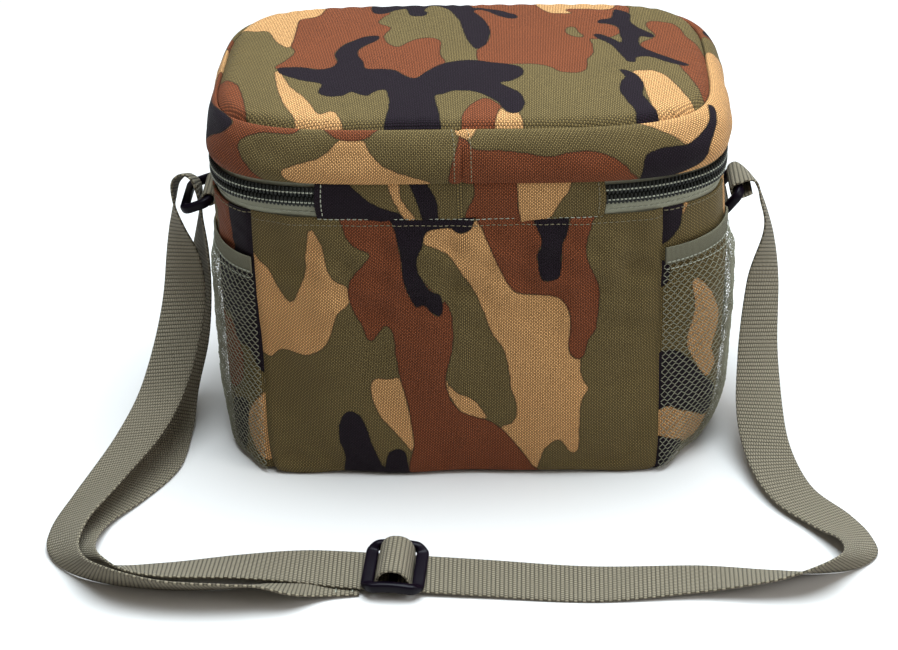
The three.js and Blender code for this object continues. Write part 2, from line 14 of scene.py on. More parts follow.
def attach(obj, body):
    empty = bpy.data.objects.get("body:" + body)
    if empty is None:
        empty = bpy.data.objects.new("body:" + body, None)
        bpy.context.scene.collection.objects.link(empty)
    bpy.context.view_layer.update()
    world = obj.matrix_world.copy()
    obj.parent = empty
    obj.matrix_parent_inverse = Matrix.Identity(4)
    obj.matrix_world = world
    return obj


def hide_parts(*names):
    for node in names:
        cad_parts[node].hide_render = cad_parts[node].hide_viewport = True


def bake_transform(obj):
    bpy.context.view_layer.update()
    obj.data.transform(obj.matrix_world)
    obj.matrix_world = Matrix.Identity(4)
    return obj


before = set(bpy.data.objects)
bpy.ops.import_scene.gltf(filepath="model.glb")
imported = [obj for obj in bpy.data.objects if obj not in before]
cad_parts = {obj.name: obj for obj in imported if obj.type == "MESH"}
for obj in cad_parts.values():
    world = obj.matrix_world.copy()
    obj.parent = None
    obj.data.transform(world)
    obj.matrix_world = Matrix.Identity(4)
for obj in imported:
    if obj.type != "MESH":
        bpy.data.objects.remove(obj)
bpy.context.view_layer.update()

MM = 0.001
POWER = 4.3  # exponent of the superellipse that the outlines follow
BODY, ZIP, LID = (128.2, 83.0), (129.5, 84.0), (132.5, 85.5)  # half length and half depth of each outline
BODY_TOP, LID_SEAM = 152.5, 199.2
RIM_LOW, RIM_TOP = 116.5, 126.0  # edges of a pocket's elastic rim
SEAM_X, HINGE_X = 100.0, 70.0  # where the front panel and the hinge strip end
RING_Z = 123  # height of the strap rings
WEBBING = 25.0  # width of the strap and its tabs
CLOTH_STEP = 4.2  # spacing of the simulated cloth's columns


# ------------------------------------------------------------------ outline
def outline(size, t):
    """Points of a superellipse with half axes size at angles t."""
    c, s = np.cos(t), np.sin(t)
    q = 2 / POWER
    return np.stack([np.sign(c) * size[0] * np.abs(c) ** q, np.sign(s) * size[1] * np.abs(s) ** q], -1)


_angle = np.linspace(np.pi / 2, np.pi * 2.5, 24001)
_walk = outline(BODY, _angle)
_length = np.concatenate([[0], np.cumsum(np.hypot(*np.diff(_walk, axis=0).T))])
_front = np.interp(np.pi * 1.5, _angle, _length)
ROUND = _length[-1]  # length of the whole outline


def angle_at(u):
    """Angle of the outline's formula at distance u."""
    return np.interp(np.mod(np.asarray(u, float) + _front, ROUND), _length, _angle)


def u_at_x(x):
    """Distance u at which the front of the body's outline crosses x."""
    miss = np.abs(_walk[:, 0] - x)
    miss[_walk[:, 1] > 0] = 1e9
    return _length[np.argmin(miss)] - _front


U_SEAM, U_HINGE = u_at_x(SEAM_X), u_at_x(HINGE_X)
U_LEFT = U_SEAM + 5.3  # the front panel reaches further on the left
U_BACK = ROUND / 2 - U_SEAM  # the seams of the back panel are at plus and minus this


def wall_points(size, u, inset, z):
    """Points of an upright wall: u, inset and z broadcast together."""
    u, inset, z = np.broadcast_arrays(np.asarray(u, float), np.asarray(inset, float), np.asarray(z, float))
    t = angle_at(u)
    c, s = np.cos(t), np.sin(t)
    q = 2 / POWER
    x = np.sign(c) * (size[0] - inset) * np.abs(c) ** q
    y = np.sign(s) * (size[1] - inset) * np.abs(s) ** q
    return np.stack([x, y, z], -1)


def soft_step(t):
    """Rises smoothly from 0 to 1 as t does."""
    t = np.clip(t, 0, 1)
    return t * t * (3 - 2 * t)


def around_ring(u, z):
    """1 behind a strap ring, 0 away from it: the cloth is held back there."""
    far = np.hypot(np.minimum(np.abs(side_u(u) - ROUND / 4), np.abs(side_u(u) + ROUND / 4)), z - RING_Z)
    return 1 / (1 + (far / 23) ** 8)


def side_u(u):
    """u counted from the middle of the front, right side positive, left side negative."""
    return np.mod(np.asarray(u, float) + ROUND / 2, ROUND) - ROUND / 2


def at_end(u):
    """Rises from 0 at the seams of an end of the bag to 1 along it."""
    v = np.abs(side_u(u))
    return soft_step((v - U_SEAM) / 34) * soft_step((U_BACK - v) / 34)


def end_wall(u, inset, z):
    """A point of the bag's wall. The right end leans out except at its ring, and the low front
    corners are squarer."""
    points = wall_points(BODY, u, inset, z)
    lean = np.interp(points[..., 2], (0, 20, 60, 110, 150, 175), (2.5, 4.5, 6.5, 7.5, 4.8, 4.5))
    lean = lean * at_end(u) * (side_u(u) > 0) * (1 - around_ring(u, points[..., 2]))
    points[..., 0] += lean
    v = np.abs(side_u(u))
    near_seam = soft_step((v - 50) / 35) * (1 - soft_step((v - U_SEAM) / 20))
    square = near_seam * soft_step(1 - points[..., 2] / 75)
    points[..., 1] += 0.8 * square * (-BODY[1] - points[..., 1]) * (points[..., 1] < -60)
    return points


def zip_wall(u, inset, z):
    """A point at the zip, shifted to the right with the ends of the bag."""
    points = wall_points(ZIP, u, inset, z)
    points[..., 0] += at_end(u) * np.where(side_u(u) > 0, 4.5, 1.0)
    return points


def lid_wall(u, inset, z):
    """A point of the lid, which sits a little to the right of the bag."""
    points = wall_points(LID, u, inset, z)
    inner = np.clip((np.broadcast_to(inset, points.shape[:-1]) - 3) / 6, 0, 1)
    points[..., 0] += (1 - inner) * (3.0 + 0.4 * points[..., 0] / LID[0]) + inner * (1 + points[..., 0] / 120)
    return points


# ------------------------------------------------------------------ numbers and meshes
def unit(vectors):
    """Rows of vectors scaled to length one."""
    return vectors / np.linalg.norm(vectors, axis=1, keepdims=True)


def run_along(points):
    """Distance walked to each point of a polyline."""
    return np.concatenate([[0], np.cumsum(np.linalg.norm(np.diff(points, axis=0), axis=1))])


def turns(count):
    """Evenly spaced angles once round."""
    return np.linspace(0, 2 * np.pi, count, endpoint=False)


def signed_power(values, power):
    return np.sign(values) * np.abs(values) ** power


def boxy_section(count, half_x, half_y, power_x, power_y):
    """A section between an ellipse and a rectangle: the smaller the powers, the squarer it is."""
    turn = turns(count)
    x, y = half_x * signed_power(np.cos(turn), power_x), half_y * signed_power(np.sin(turn), power_y)
    return np.stack([x, y], -1)


def sideways(line):
    """Level vectors pointing out of the bag from a line that goes round it."""
    return np.stack([np.gradient(line[:, 1]), -np.gradient(line[:, 0]), np.zeros(len(line))], -1)


def finer(n, k, closed=False):
    """Matrix that turns n samples into k times finer ones along a Catmull-Rom spline."""
    rows = n * k if closed else (n - 1) * k + 1
    matrix = np.zeros((rows, n))
    for r in range(rows):
        i, f = divmod(r, k)
        f /= k
        if not closed and i == n - 1:
            i, f = n - 2, 1.0
        weights = ((-f**3 + 2 * f**2 - f) / 2, (3 * f**3 - 5 * f**2 + 2) / 2,
                   (-3 * f**3 + 4 * f**2 + f) / 2, (f**3 - f**2) / 2)
        for c, w in zip(range(i - 1, i + 3), weights):
            if closed:
                matrix[r, c % n] += w
            elif c < 0:
                matrix[r, 0] += 2 * w
                matrix[r, 1] -= w
            elif c > n - 1:
                matrix[r, n - 1] += 2 * w
                matrix[r, n - 2] -= w
            else:
                matrix[r, c] += w
    return matrix


def refine(grid, k):
    """A grid of values, k times finer both ways."""
    grid = np.tensordot(finer(grid.shape[0], k), grid, (1, 0))
    return np.moveaxis(np.tensordot(finer(grid.shape[1], k), grid, (1, 1)), 0, 1)


def ripple(u, v, length, seed):
    """Smooth irregular waves of about one unit height and the given length."""
    pick = np.random.default_rng(seed)
    waves = 8
    total = 0
    for _ in range(waves):
        a = pick.uniform(0, 2 * np.pi)
        size = length * pick.uniform(0.6, 1.7)
        phase = pick.uniform(0, 2 * np.pi)
        total = total + np.sin(2 * np.pi * (u * np.cos(a) + v * np.sin(a)) / size + phase)
    return total / math.sqrt(waves)


def normals_of(grid, closed=False):
    """Unit normals of a grid of points, along first axis x second axis."""
    if closed:
        du = np.roll(grid, -1, 0) - np.roll(grid, 1, 0)
    else:
        du = np.gradient(grid, axis=0)
    n = np.cross(du, np.gradient(grid, axis=1))
    return n / np.maximum(np.linalg.norm(n, axis=-1, keepdims=True), 1e-9)


def link(obj):
    bpy.context.scene.collection.objects.link(obj)
    return obj


def fit(obj, body=None, node=None):
    """Puts a piece on its body, and in the place of a CAD node."""
    if body:
        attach(obj, body)
    if node:
        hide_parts(node)
    return obj


def new_mesh(name, verts, faces, material, uv=None, fields=None, sharp=55):
    """Makes a smooth-shaded object from millimetre points; uv (millimetres) and fields are per point."""
    mesh = bpy.data.meshes.new(name)
    mesh.from_pydata(np.asarray(verts) * MM, [], [tuple(int(i) for i in f) for f in faces])
    mesh.validate()
    mesh.polygons.foreach_set("use_smooth", np.ones(len(mesh.polygons), bool))
    mesh.set_sharp_from_angle(angle=math.radians(sharp))
    loops = np.zeros(len(mesh.loops), np.int32)
    mesh.loops.foreach_get("vertex_index", loops)
    if uv is not None:
        layer = mesh.uv_layers.new(name="cloth")
        layer.data.foreach_set("uv", (np.asarray(uv, float)[loops] * MM).ravel())
    for key, values in (fields or {}).items():
        mesh.attributes.new(key, "FLOAT", "POINT").data.foreach_set("value", np.asarray(values, np.float32))
    mesh.materials.append(material)
    return link(bpy.data.objects.new(name, mesh))


def grid_faces(n, m, closed=False):
    """Numbers of an n x m grid's points, and its quads. A closed grid's last row joins its first."""
    index = np.arange(n * m).reshape(n, m)
    if closed:
        index = np.concatenate([index, index[:1]])
    quads = np.stack([index[:-1, :-1], index[1:, :-1], index[1:, 1:], index[:-1, 1:]], -1)
    return index, quads.reshape(-1, 4)


def sheet(name, grid, thickness, material, uv=None, closed=False, fields=None):
    """A closed solid from a grid of points: the grid is its outer face, and it is thickened inwards."""
    n, m = grid.shape[:2]
    inner = grid - normals_of(grid, closed) * thickness
    index, outer = grid_faces(n, m, closed)
    shift = n * m
    faces = [outer, outer[:, ::-1] + shift]

    def rim(a, b):
        faces.append(np.stack([b, a, a + shift, b + shift], -1))

    rim(index[:-1, 0], index[1:, 0])
    rim(index[1:, -1], index[:-1, -1])
    if not closed:
        rim(index[0, 1:], index[0, :-1])
        rim(index[-1, :-1], index[-1, 1:])
    verts = np.concatenate([grid.reshape(-1, 3), inner.reshape(-1, 3)])
    if uv is not None:
        uv = np.tile(np.asarray(uv, float).reshape(-1, 2), (2, 1))
    if fields is not None:
        fields = {k: np.tile(np.asarray(v).ravel(), 2) for k, v in fields.items()}
    return new_mesh(name, verts, np.concatenate(faces), material, uv, fields)


def tube_quads(index):
    """Quads of a tube from the numbers of its points, ring by ring, with each ring's first point repeated."""
    return np.stack([index[:-1, :-1], index[:-1, 1:], index[1:, 1:], index[1:, :-1]], -1).reshape(-1, 4)


def sweep(name, centres, sides, ups, section, material, closed=False, sharp=55):
    """Sweeps a closed section of (side, up) points along centres. uv is the side and the distance along."""
    section = np.asarray(section, float)
    if section.ndim == 2:
        section = np.broadcast_to(section, (len(centres), *section.shape))
    ring = centres[:, None] + sides[:, None] * section[..., :1] + ups[:, None] * section[..., 1:]
    n, m = ring.shape[:2]
    index = np.arange(n * m).reshape(n, m)
    if closed:
        index = np.concatenate([index, index[:1]])
    index = np.concatenate([index, index[:, :1]], 1)
    faces = [tuple(q) for q in tube_quads(index)]
    if not closed:
        faces += [tuple(range(m - 1, -1, -1)), tuple(range((n - 1) * m, n * m))]
    uv = np.stack([section[..., 0], np.broadcast_to(run_along(centres)[:, None], (n, m))], -1).reshape(-1, 2)
    obj = new_mesh(name, ring.reshape(-1, 3), faces, material, uv, None, sharp)
    outward_faces(obj)
    return obj


def outward_faces(obj):
    """Turns a closed mesh's faces outwards."""
    mesh = obj.data
    co = np.zeros(len(mesh.vertices) * 3)
    mesh.vertices.foreach_get("co", co)
    co = co.reshape(-1, 3)
    mesh.calc_loop_triangles()
    tri = np.zeros(len(mesh.loop_triangles) * 3, np.int32)
    mesh.loop_triangles.foreach_get("vertices", tri)
    a, b, c = co[tri.reshape(-1, 3)].transpose(1, 0, 2)
    if np.einsum("ij,ij->i", a, np.cross(b, c)).sum() < 0:
        mesh.flip_normals()


def bars(name, centres, alongs, ups, length, radius, material, flat=0.75, dip=0.35, sides=6):
    """Many short rounded bars in one mesh, such as stitches or zip teeth. Their ends dip against up."""
    centres, alongs, ups = (np.asarray(a, float) for a in (centres, alongs, ups))
    alongs = unit(alongs)
    across = unit(np.cross(alongs, ups))
    ups = np.cross(across, alongs)
    stations = [(-0.5, 0.55, -dip), (-0.36, 1, 0), (0, 1.05, 0.1), (0.36, 1, 0), (0.5, 0.55, -dip)]
    rings = []
    for s, r, lift in stations:
        middle = centres + alongs * (s * length) + ups * (lift * length * 0.3)
        for a in turns(sides):
            rings.append(middle + across * (r * radius * np.cos(a)) + ups * (r * radius * flat * np.sin(a)))
    verts = np.stack(rings, 1)
    per = verts.shape[1]
    faces = []
    for k in range(len(stations) - 1):
        for j in range(sides):
            a, b = k * sides + j, k * sides + (j + 1) % sides
            faces.append((a, b, b + sides, a + sides))
    caps = [tuple(range(sides - 1, -1, -1)), tuple(range(per - sides, per))]
    base = np.arange(len(centres)) * per
    every = [tuple(int(i) + int(o) for i in f) for o in base for f in faces + caps]
    obj = new_mesh(name, verts.reshape(-1, 3), every, material)
    outward_faces(obj)
    return obj


def at_runs(values, run, at):
    """Values given at distances run, read at distances at."""
    return np.stack([np.interp(at, run, values[:, k]) for k in range(values.shape[1])], -1)


def spaced(points, pitch, start=0.5):
    """Places at an even pitch along a polyline, with the direction there."""
    points = np.asarray(points, float)
    run = run_along(points)
    at = np.arange(pitch * start, run[-1], pitch)
    near = 0.2
    place, ahead, behind = (at_runs(points, run, where) for where in (at, at + near, at - near))
    return place, ahead - behind


def relaxed(points, faces, pinned, pressure, cap):
    """Blender's cloth on a copy of a surface with pinned points; returns how far each point moved, capped."""
    mesh = bpy.data.meshes.new("relax")
    mesh.from_pydata(points * MM, [], [tuple(int(i) for i in f) for f in faces])
    obj = link(bpy.data.objects.new("relax", mesh))
    group = obj.vertex_groups.new(name="pin")
    group.add([int(i) for i in pinned], 1.0, "REPLACE")
    cloth = obj.modifiers.new("Cloth", "CLOTH")
    s = cloth.settings
    s.quality = 7
    s.mass = 0.25
    s.tension_stiffness = s.compression_stiffness = 30
    s.shear_stiffness = 12
    s.bending_stiffness = 1.2
    s.vertex_group_mass = "pin"
    s.use_pressure = True
    s.uniform_pressure_force = pressure
    s.shrink_min = -0.004  # the cloth is cut this share too large
    s.effector_weights.gravity = 0
    frames = 18
    cloth.point_cache.frame_start, cloth.point_cache.frame_end = 1, frames
    for f in range(1, frames + 1):
        bpy.context.scene.frame_set(f)
    final = obj.evaluated_get(bpy.context.evaluated_depsgraph_get()).to_mesh()
    co = np.zeros(len(final.vertices) * 3)
    final.vertices.foreach_get("co", co)
    bpy.data.objects.remove(obj)
    bpy.data.meshes.remove(mesh)
    bpy.context.scene.frame_set(1)
    move = np.nan_to_num(co.reshape(-1, 3) / MM - points)
    size = np.linalg.norm(move, axis=1, keepdims=True)
    return move * np.tanh(size / cap) * cap / np.maximum(size, 1e-6)


# ------------------------------------------------------------------ shader helpers
def add(tree, kind, inputs=(), out=0, **props):
    """Adds a shader node; inputs are sockets or values, by index or by name."""
    node = tree.nodes.new("ShaderNode" + kind)
    for key, value in props.items():
        setattr(node, key, value)
    pairs = inputs.items() if isinstance(inputs, dict) else enumerate(inputs)
    for key, value in pairs:
        if isinstance(value, bpy.types.NodeSocket):
            tree.links.new(value, node.inputs[key])
        elif value is not None:
            node.inputs[key].default_value = value
    return node.outputs[out]


def calc(tree, operation, *values):
    return add(tree, "Math", values, operation=operation)


def humps(tree, value):
    """One rounded hump per unit of value."""
    return calc(tree, "ABSOLUTE", calc(tree, "SINE", calc(tree, "MULTIPLY", value, math.pi)))


def shade(colour, amount):
    return tuple(amount * c for c in colour)


def mix(tree, factor, a, b):
    """Mixes two colours, given as sockets or as triples."""
    def colour(c):
        return (*c, 1) if isinstance(c, tuple) and len(c) == 3 else c

    return add(tree, "Mix", {0: factor, 6: colour(a), 7: colour(b)}, out=2, data_type="RGBA")


def ramp(tree, value, low, high, to_low=0.0, to_high=1.0):
    """A smooth step from to_low at low to to_high at high."""
    sockets = {0: value, 1: low, 2: high, 3: to_low, 4: to_high}
    return add(tree, "MapRange", sockets, interpolation_type="SMOOTHSTEP")


def noise(tree, vector, scale, detail=3.0, rough=0.55):
    return add(tree, "TexNoise", {"Vector": vector, "Scale": scale, "Detail": detail, "Roughness": rough})


def start(name):
    """A new material, its node tree and its surface shader."""
    material = bpy.data.materials.new(name)
    material.use_nodes = True
    return material, material.node_tree, material.node_tree.nodes["Principled BSDF"]


def put(tree, shader, colour=None, rough=None, height=None, distance=0.0003, strength=1.0, **values):
    """Connects colour, roughness and bump to the surface, and sets the other named inputs."""
    for key, value in (("Base Color", colour), ("Roughness", rough)):
        if isinstance(value, bpy.types.NodeSocket):
            tree.links.new(value, shader.inputs[key])
        elif value is not None:
            shader.inputs[key].default_value = (*value, 1) if isinstance(value, tuple) else value
    if height is not None:
        bump = add(tree, "Bump", {"Strength": strength, "Distance": distance, "Height": height})
        tree.links.new(bump, shader.inputs["Normal"])
    for key, value in values.items():
        shader.inputs[key.replace("_", " ")].default_value = value


def cloth_uv(tree, pitch):
    """The two cloth coordinates, counted in threads of the given pitch."""
    uv = add(tree, "TexCoord", out=2)
    scaled = add(tree, "VectorMath", {0: uv, 3: 1000.0 / pitch}, operation="SCALE")
    split = tree.nodes.new("ShaderNodeSeparateXYZ")
    tree.links.new(scaled, split.inputs[0])
    return split.outputs[0], split.outputs[1]


def weave(tree, pitch):
    """Height of a plain weave: warp and weft pass over each other in turn."""
    x, y = cloth_uv(tree, pitch)
    crossing = calc(tree, "ADD", calc(tree, "FLOOR", x), calc(tree, "FLOOR", y))
    parity = calc(tree, "FLOORED_MODULO", crossing, 2.0)
    warp, weft = humps(tree, x), humps(tree, y)
    over = calc(tree, "MULTIPLY", warp, calc(tree, "MULTIPLY_ADD", weft, 0.5, 0.5))
    under = calc(tree, "MULTIPLY", weft, calc(tree, "MULTIPLY_ADD", warp, 0.3, 0.12))
    return add(tree, "Mix", {0: parity, 2: over, 3: under}, data_type="FLOAT")


GREEN, BROWN = (0.138, 0.098, 0.036), (0.184, 0.050, 0.017)
TAN, BLACK = (0.54, 0.290, 0.115), (0.009, 0.0035, 0.008)


def camouflage_material():
    """Woven cloth printed with each ink where its field, the distance into its blotches, is positive."""
    material, tree, shader = start("camouflage_fabric")
    place = add(tree, "TexCoord", out=2)
    wobble = calc(tree, "MULTIPLY", calc(tree, "SUBTRACT", noise(tree, place, 190.0), 0.5), 1.5)
    colour = mix(tree, noise(tree, place, 25.0), shade(GREEN, 0.86), shade(GREEN, 1.12))
    nearest = None
    for key, tone in (("tan", TAN), ("brown", BROWN), ("black", BLACK)):
        field = calc(tree, "ADD", add(tree, "Attribute", attribute_name=key, out=2), wobble)
        inside = ramp(tree, field, -0.18, 0.18)
        ink = mix(tree, noise(tree, place, 30.0), shade(tone, 0.9), shade(tone, 1.1))
        colour = mix(tree, inside, colour, ink)
        distance = calc(tree, "ABSOLUTE", field)
        nearest = distance if nearest is None else calc(tree, "MINIMUM", nearest, distance)
    edge = ramp(tree, nearest, 0.1, 0.75, 0.52, 1.0)
    threads = weave(tree, 0.84)
    # The colour follows the weave's height: thread tops get a painted highlight and the gaps between threads
    # get painted shade, on top of the real bump. edge darkens a thin line along each blotch's border.
    light = calc(tree, "MULTIPLY", edge, ramp(tree, threads, 0.05, 0.75, 0.2, 1.7))
    tinted = add(tree, "VectorMath", {0: colour, 3: light}, operation="SCALE")
    put(tree, shader, tinted, 0.75, threads, 0.0004, 0.9, Sheen_Weight=0.02, Sheen_Roughness=0.4,
        Specular_IOR_Level=0.16)
    return material


def webbing_material(name, colour, rib=2.1):
    """Flat woven webbing: ribs across the width and fine threads along it."""
    material, tree, shader = start(name)
    x, y = cloth_uv(tree, rib)
    place = add(tree, "TexCoord", out=2)
    ribs = humps(tree, y)
    parity = calc(tree, "FLOORED_MODULO", calc(tree, "FLOOR", y), 2.0)
    shifted = calc(tree, "MULTIPLY_ADD", parity, 0.5, calc(tree, "MULTIPLY", x, 1.6))
    threads = humps(tree, shifted)
    ribs = calc(tree, "POWER", ribs, 0.6)
    height = calc(tree, "MULTIPLY", ribs, calc(tree, "MULTIPLY_ADD", threads, 0.75, 0.25))
    # The colour follows the ribs' height: rib tops get a painted highlight and the hollows between ribs and
    # threads get painted shade, on top of the real bump.
    tone = mix(tree, ramp(tree, height, 0.1, 0.85), shade(colour, 0.26), shade(colour, 1.3))
    wear = ramp(tree, noise(tree, place, 60.0), 0.35, 0.75, 0.0, 0.35)
    tone = mix(tree, wear, tone, shade(colour, 0.8))
    put(tree, shader, tone, 0.8, height, 0.0006, 1.0, Sheen_Weight=0.04, Sheen_Roughness=0.5,
        Specular_IOR_Level=0.15)
    return material


def thread_material(name, colour):
    material, tree, shader = start(name)
    place = add(tree, "TexCoord", out=3)
    strands = noise(tree, place, 2500.0, 2.0)
    tone = mix(tree, strands, shade(colour, 0.7), shade(colour, 1.2))
    put(tree, shader, tone, 0.75, strands, 0.0001, 0.6, Specular_IOR_Level=0.15)
    return material


def fine_cloth_material(name, colour):
    material, tree, shader = start(name)
    place = add(tree, "TexCoord", out=2)
    threads = weave(tree, 0.45)
    # The colour follows the weave's height: painted shade in the gaps between threads and a painted highlight
    # on the thread tops.
    tone = mix(tree, threads, shade(colour, 0.6), shade(colour, 1.15))
    wear = ramp(tree, noise(tree, place, 40.0), 0.3, 0.8, 0.0, 0.4)
    tone = mix(tree, wear, tone, shade(colour, 0.8))
    put(tree, shader, tone, 0.8, threads, 0.0002, 0.7, Sheen_Weight=0.1)
    return material


def plastic_material(name, colour, rough, coat=0.0, specular=0.22):
    material, tree, shader = start(name)
    place = add(tree, "TexCoord", out=3)
    fine = noise(tree, place, 900.0, 4.0)
    broad = noise(tree, place, 60.0)
    tone = mix(tree, broad, shade(colour, 0.85), shade(colour, 1.3))
    gloss = ramp(tree, broad, 0.3, 0.7, rough, rough + 0.12)
    put(tree, shader, tone, gloss, fine, 0.00004, 0.5, Coat_Weight=coat, Specular_IOR_Level=specular)
    return material


def foil_material():
    material, tree, shader = start("foil_lining")
    place = add(tree, "TexCoord", out=3)
    creases = noise(tree, place, 55.0, 6.0, 0.65)
    fine = weave(tree, 2.4)
    height = calc(tree, "MULTIPLY_ADD", fine, 0.08, creases)
    # The colour follows the creases' height: painted shade in the crease hollows and a painted highlight on
    # their ridges.
    tone = mix(tree, creases, (0.50, 0.51, 0.53), (0.74, 0.75, 0.77))
    put(tree, shader, tone, ramp(tree, creases, 0.3, 0.7, 0.24, 0.42), height, 0.0025, 0.7, Metallic=0.85)
    return material


def foam_material():
    material, tree, shader = start("closed_cell_foam")
    place = add(tree, "TexCoord", out=3)
    cells = add(tree, "TexVoronoi", {"Vector": place, "Scale": 900.0})
    # The colour follows the cells' height: painted shade in the pits of the cells and lighter colour on their
    # raised walls.
    tone = mix(tree, cells, (0.78, 0.77, 0.72), (0.9, 0.89, 0.86))
    put(tree, shader, tone, 0.85, cells, 0.0003, 0.5, Subsurface_Weight=0.05)
    return material


CAMO = camouflage_material()
STRAP = webbing_material("strap_webbing", (0.197, 0.170, 0.120))
ELASTIC = webbing_material("elastic_binding", (0.225, 0.212, 0.143), 0.7)
TAPE_CLOTH = fine_cloth_material("zip_tape_cloth", (0.32, 0.32, 0.23))
NET = thread_material("net_thread", (0.23, 0.225, 0.165))
STITCH = thread_material("sewing_thread", (0.19, 0.165, 0.105))
PALE_STITCH = thread_material("zip_thread", (0.34, 0.35, 0.28))
COIL = plastic_material("zip_coil", (0.012, 0.013, 0.011), 0.32)
PLASTIC = plastic_material("black_plastic", (0.003, 0.0014, 0.0045), 0.3, specular=0.1)
ENAMEL = plastic_material("slider_enamel", (0.020, 0.020, 0.022), 0.25, coat=0.5)
FOIL = foil_material()
FOAM = foam_material()


# ------------------------------------------------------------------ the camouflage print
# Blotches on the cloth in millimetres, painted in order over green. T tan, B brown, K black, G green.
FRONT_PRINT = [
    ("T", [(-75, 145), (-72, 143), (-69, 135), (-67, 125), (-63, 118), (-57, 114), (-56, 108), (-58, 103),
           (-63, 99), (-66, 90), (-70, 80), (-76, 75), (-82, 73), (-92, 74), (-97, 72), (-102, 68),
           (-112, 78), (-112, 128), (-101, 124), (-97, 119), (-94, 112), (-91, 106), (-88, 103),
           (-85, 105), (-82, 112), (-79, 120), (-78, 132)]),
    ("T", [(-48, 50), (-47.5, 58), (-45, 60.5), (-39, 60), (-30, 61), (-27, 48), (-25, 34), (-26, 13),
           (-32, 22), (-38, 30), (-44, 38)]),
    ("T", [(-16, 147), (-19, 140), (-15, 137.5), (-9, 134), (-3, 128), (2, 119), (7, 109), (11, 99),
           (14, 88), (20, 78), (22.5, 66), (23.5, 55), (26, 46), (26, 38), (23, 33), (18, 30), (24, 18),
           (30, 6), (36, 3), (38, 9), (40, 16), (44, 21.5), (48, 23), (51, 20), (53, 16), (56, 14.5),
           (58, 18), (58.5, 32), (59, 44), (61, 50), (63, 53.5), (60, 60), (59, 70), (60, 90), (58, 112),
           (30, 118), (20, 150), (0, 150)]),
    ("B", [(-58, 160), (-58, 146), (-55, 139), (-50, 136), (-45, 133), (-50, 126), (-55, 119), (-57, 112),
           (-56, 104), (-54, 97), (-51, 92), (-49, 84), (-46, 83), (-43, 87), (-39, 91.5), (-35.5, 88),
           (-34.5, 76), (-33, 62), (-30, 48), (-28, 34), (-27, 20), (-26.5, -6), (38, -6), (34, 6),
           (30, 13), (25, 21), (18, 30), (10, 35.5), (2, 38.5), (-4, 43), (-8, 50), (-9.5, 60), (-8.5, 68),
           (-6, 78), (-5, 90), (-7, 103), (-14, 112), (-20, 120), (-28, 130), (-31, 140), (-32, 160)]),
    ("T", [(-9.5, 62), (-8, 58), (-4, 53), (3, 49), (8, 43), (11, 36), (4, 37.5), (-3, 42), (-7, 49),
           (-9.3, 56)]),
    ("B", [(10, 160), (11, 146), (13, 140), (17, 130), (21, 120), (26, 112), (32, 109), (42, 108),
           (49, 106), (53, 100), (54, 90), (53, 80), (54, 74), (58, 71), (61, 74), (63, 82), (67, 88),
           (68, 100), (68.5, 110), (66, 120), (62, 130), (62, 140), (65, 150), (66, 160)]),
    ("K", [(-34, 160), (-32, 145), (-30, 132), (-29, 120), (-26, 108), (-23, 102.5), (-20, 104),
           (-18, 103), (-15, 99.5), (-11, 98), (-10, 104), (-11, 110), (-16, 113), (-19, 118), (-22, 125),
           (-22, 131), (-19, 138), (-17, 145), (-10, 147), (-5, 147), (0, 144.5), (4, 146), (6, 149),
           (5, 160)]),
    ("K", [(33, 160), (37, 148), (40, 140), (37.5, 132), (38, 127), (39, 120), (41, 117.5), (45, 118),
           (48.5, 120), (49.5, 130), (50, 138), (52, 143), (53, 160)]),
    ("K", [(-64, -5), (-63, 12), (-65.5, 24), (-65, 34), (-62, 40), (-58, 41), (-54, 38), (-51, 30),
           (-49, 22), (-46, 12), (-43, -5)]),
    ("K", [(-43, -5), (-41.5, 12), (-39, 16.5), (-35, 18), (-32, 16), (-31, 10), (-30.5, -5)]),
]
STRIP_PRINT = [
    ("K", [(-76, 180), (-56, 173), (-52, 170), (-46, 164), (-41, 160), (-34, 157), (-28, 154), (-28, 146),
           (-76, 146)]),
    ("T", [(-36, 178), (-33, 165), (-30, 158), (-26, 150), (-22, 153), (-28, 163), (-30, 178)]),
    ("K", [(-25, 178), (-23, 168), (-20, 160), (-18, 150), (-11, 150), (-11.5, 163), (-15, 170),
           (-17, 178)]),
    ("B", [(9, 178), (7, 165), (3, 150), (32, 150), (32, 178)]),
    ("T", [(30, 180), (30, 148), (42, 150), (48, 160), (53, 168), (54, 180)]),
]
GUSSET_PRINT = [
    ("T", [(-56, 197), (-46, 197), (-42, 190), (-36, 184), (-28, 180), (-20, 177), (-14, 172), (-50, 168),
           (-78, 173), (-83, 178), (-82, 181), (-74, 184), (-66, 187), (-61, 191)]),
    ("B", [(-66, 206), (-62, 199), (-56, 196), (-46, 196), (-41, 199), (-37, 206)]),
    ("B", [(-183, 208), (-108, 206), (-92, 205.5), (-78, 204.5), (-78, 199.5), (-86, 198), (-97, 197.5),
           (-107, 191), (-104, 184), (-99, 178), (-96, 166), (-181, 166)]),
    ("T", [(-181, 208), (-215, 208), (-215, 166), (-179, 166)]),
    ("K", [(-160, 192), (-155, 196), (-147, 197), (-139, 199), (-131, 201), (-123, 202), (-114, 199.5),
           (-118, 193), (-126, 189), (-133, 184), (-141, 177), (-150, 172), (-160, 172), (-163, 182)]),
    ("T", [(96, 206), (104, 193), (108, 186), (104, 168), (190, 168), (200, 206)]),
    ("K", [(86, 168), (86.5, 183.5), (91, 187.5), (101, 188.5), (109, 188), (118, 191), (126.5, 195),
           (134, 200.5), (136.5, 198), (129, 192), (121, 184.5), (116.5, 177), (105, 173.5), (95, 168)]),
    ("T", [(1, 206), (1, 194), (4, 195), (9, 199), (12, 206)]),
    ("B", [(1, 196), (5, 195), (8, 191), (20, 190.5), (32, 189), (42, 187), (52, 189), (60, 189.5),
           (68, 188), (75, 184), (80, 178), (82, 166), (1, 166)]),
]
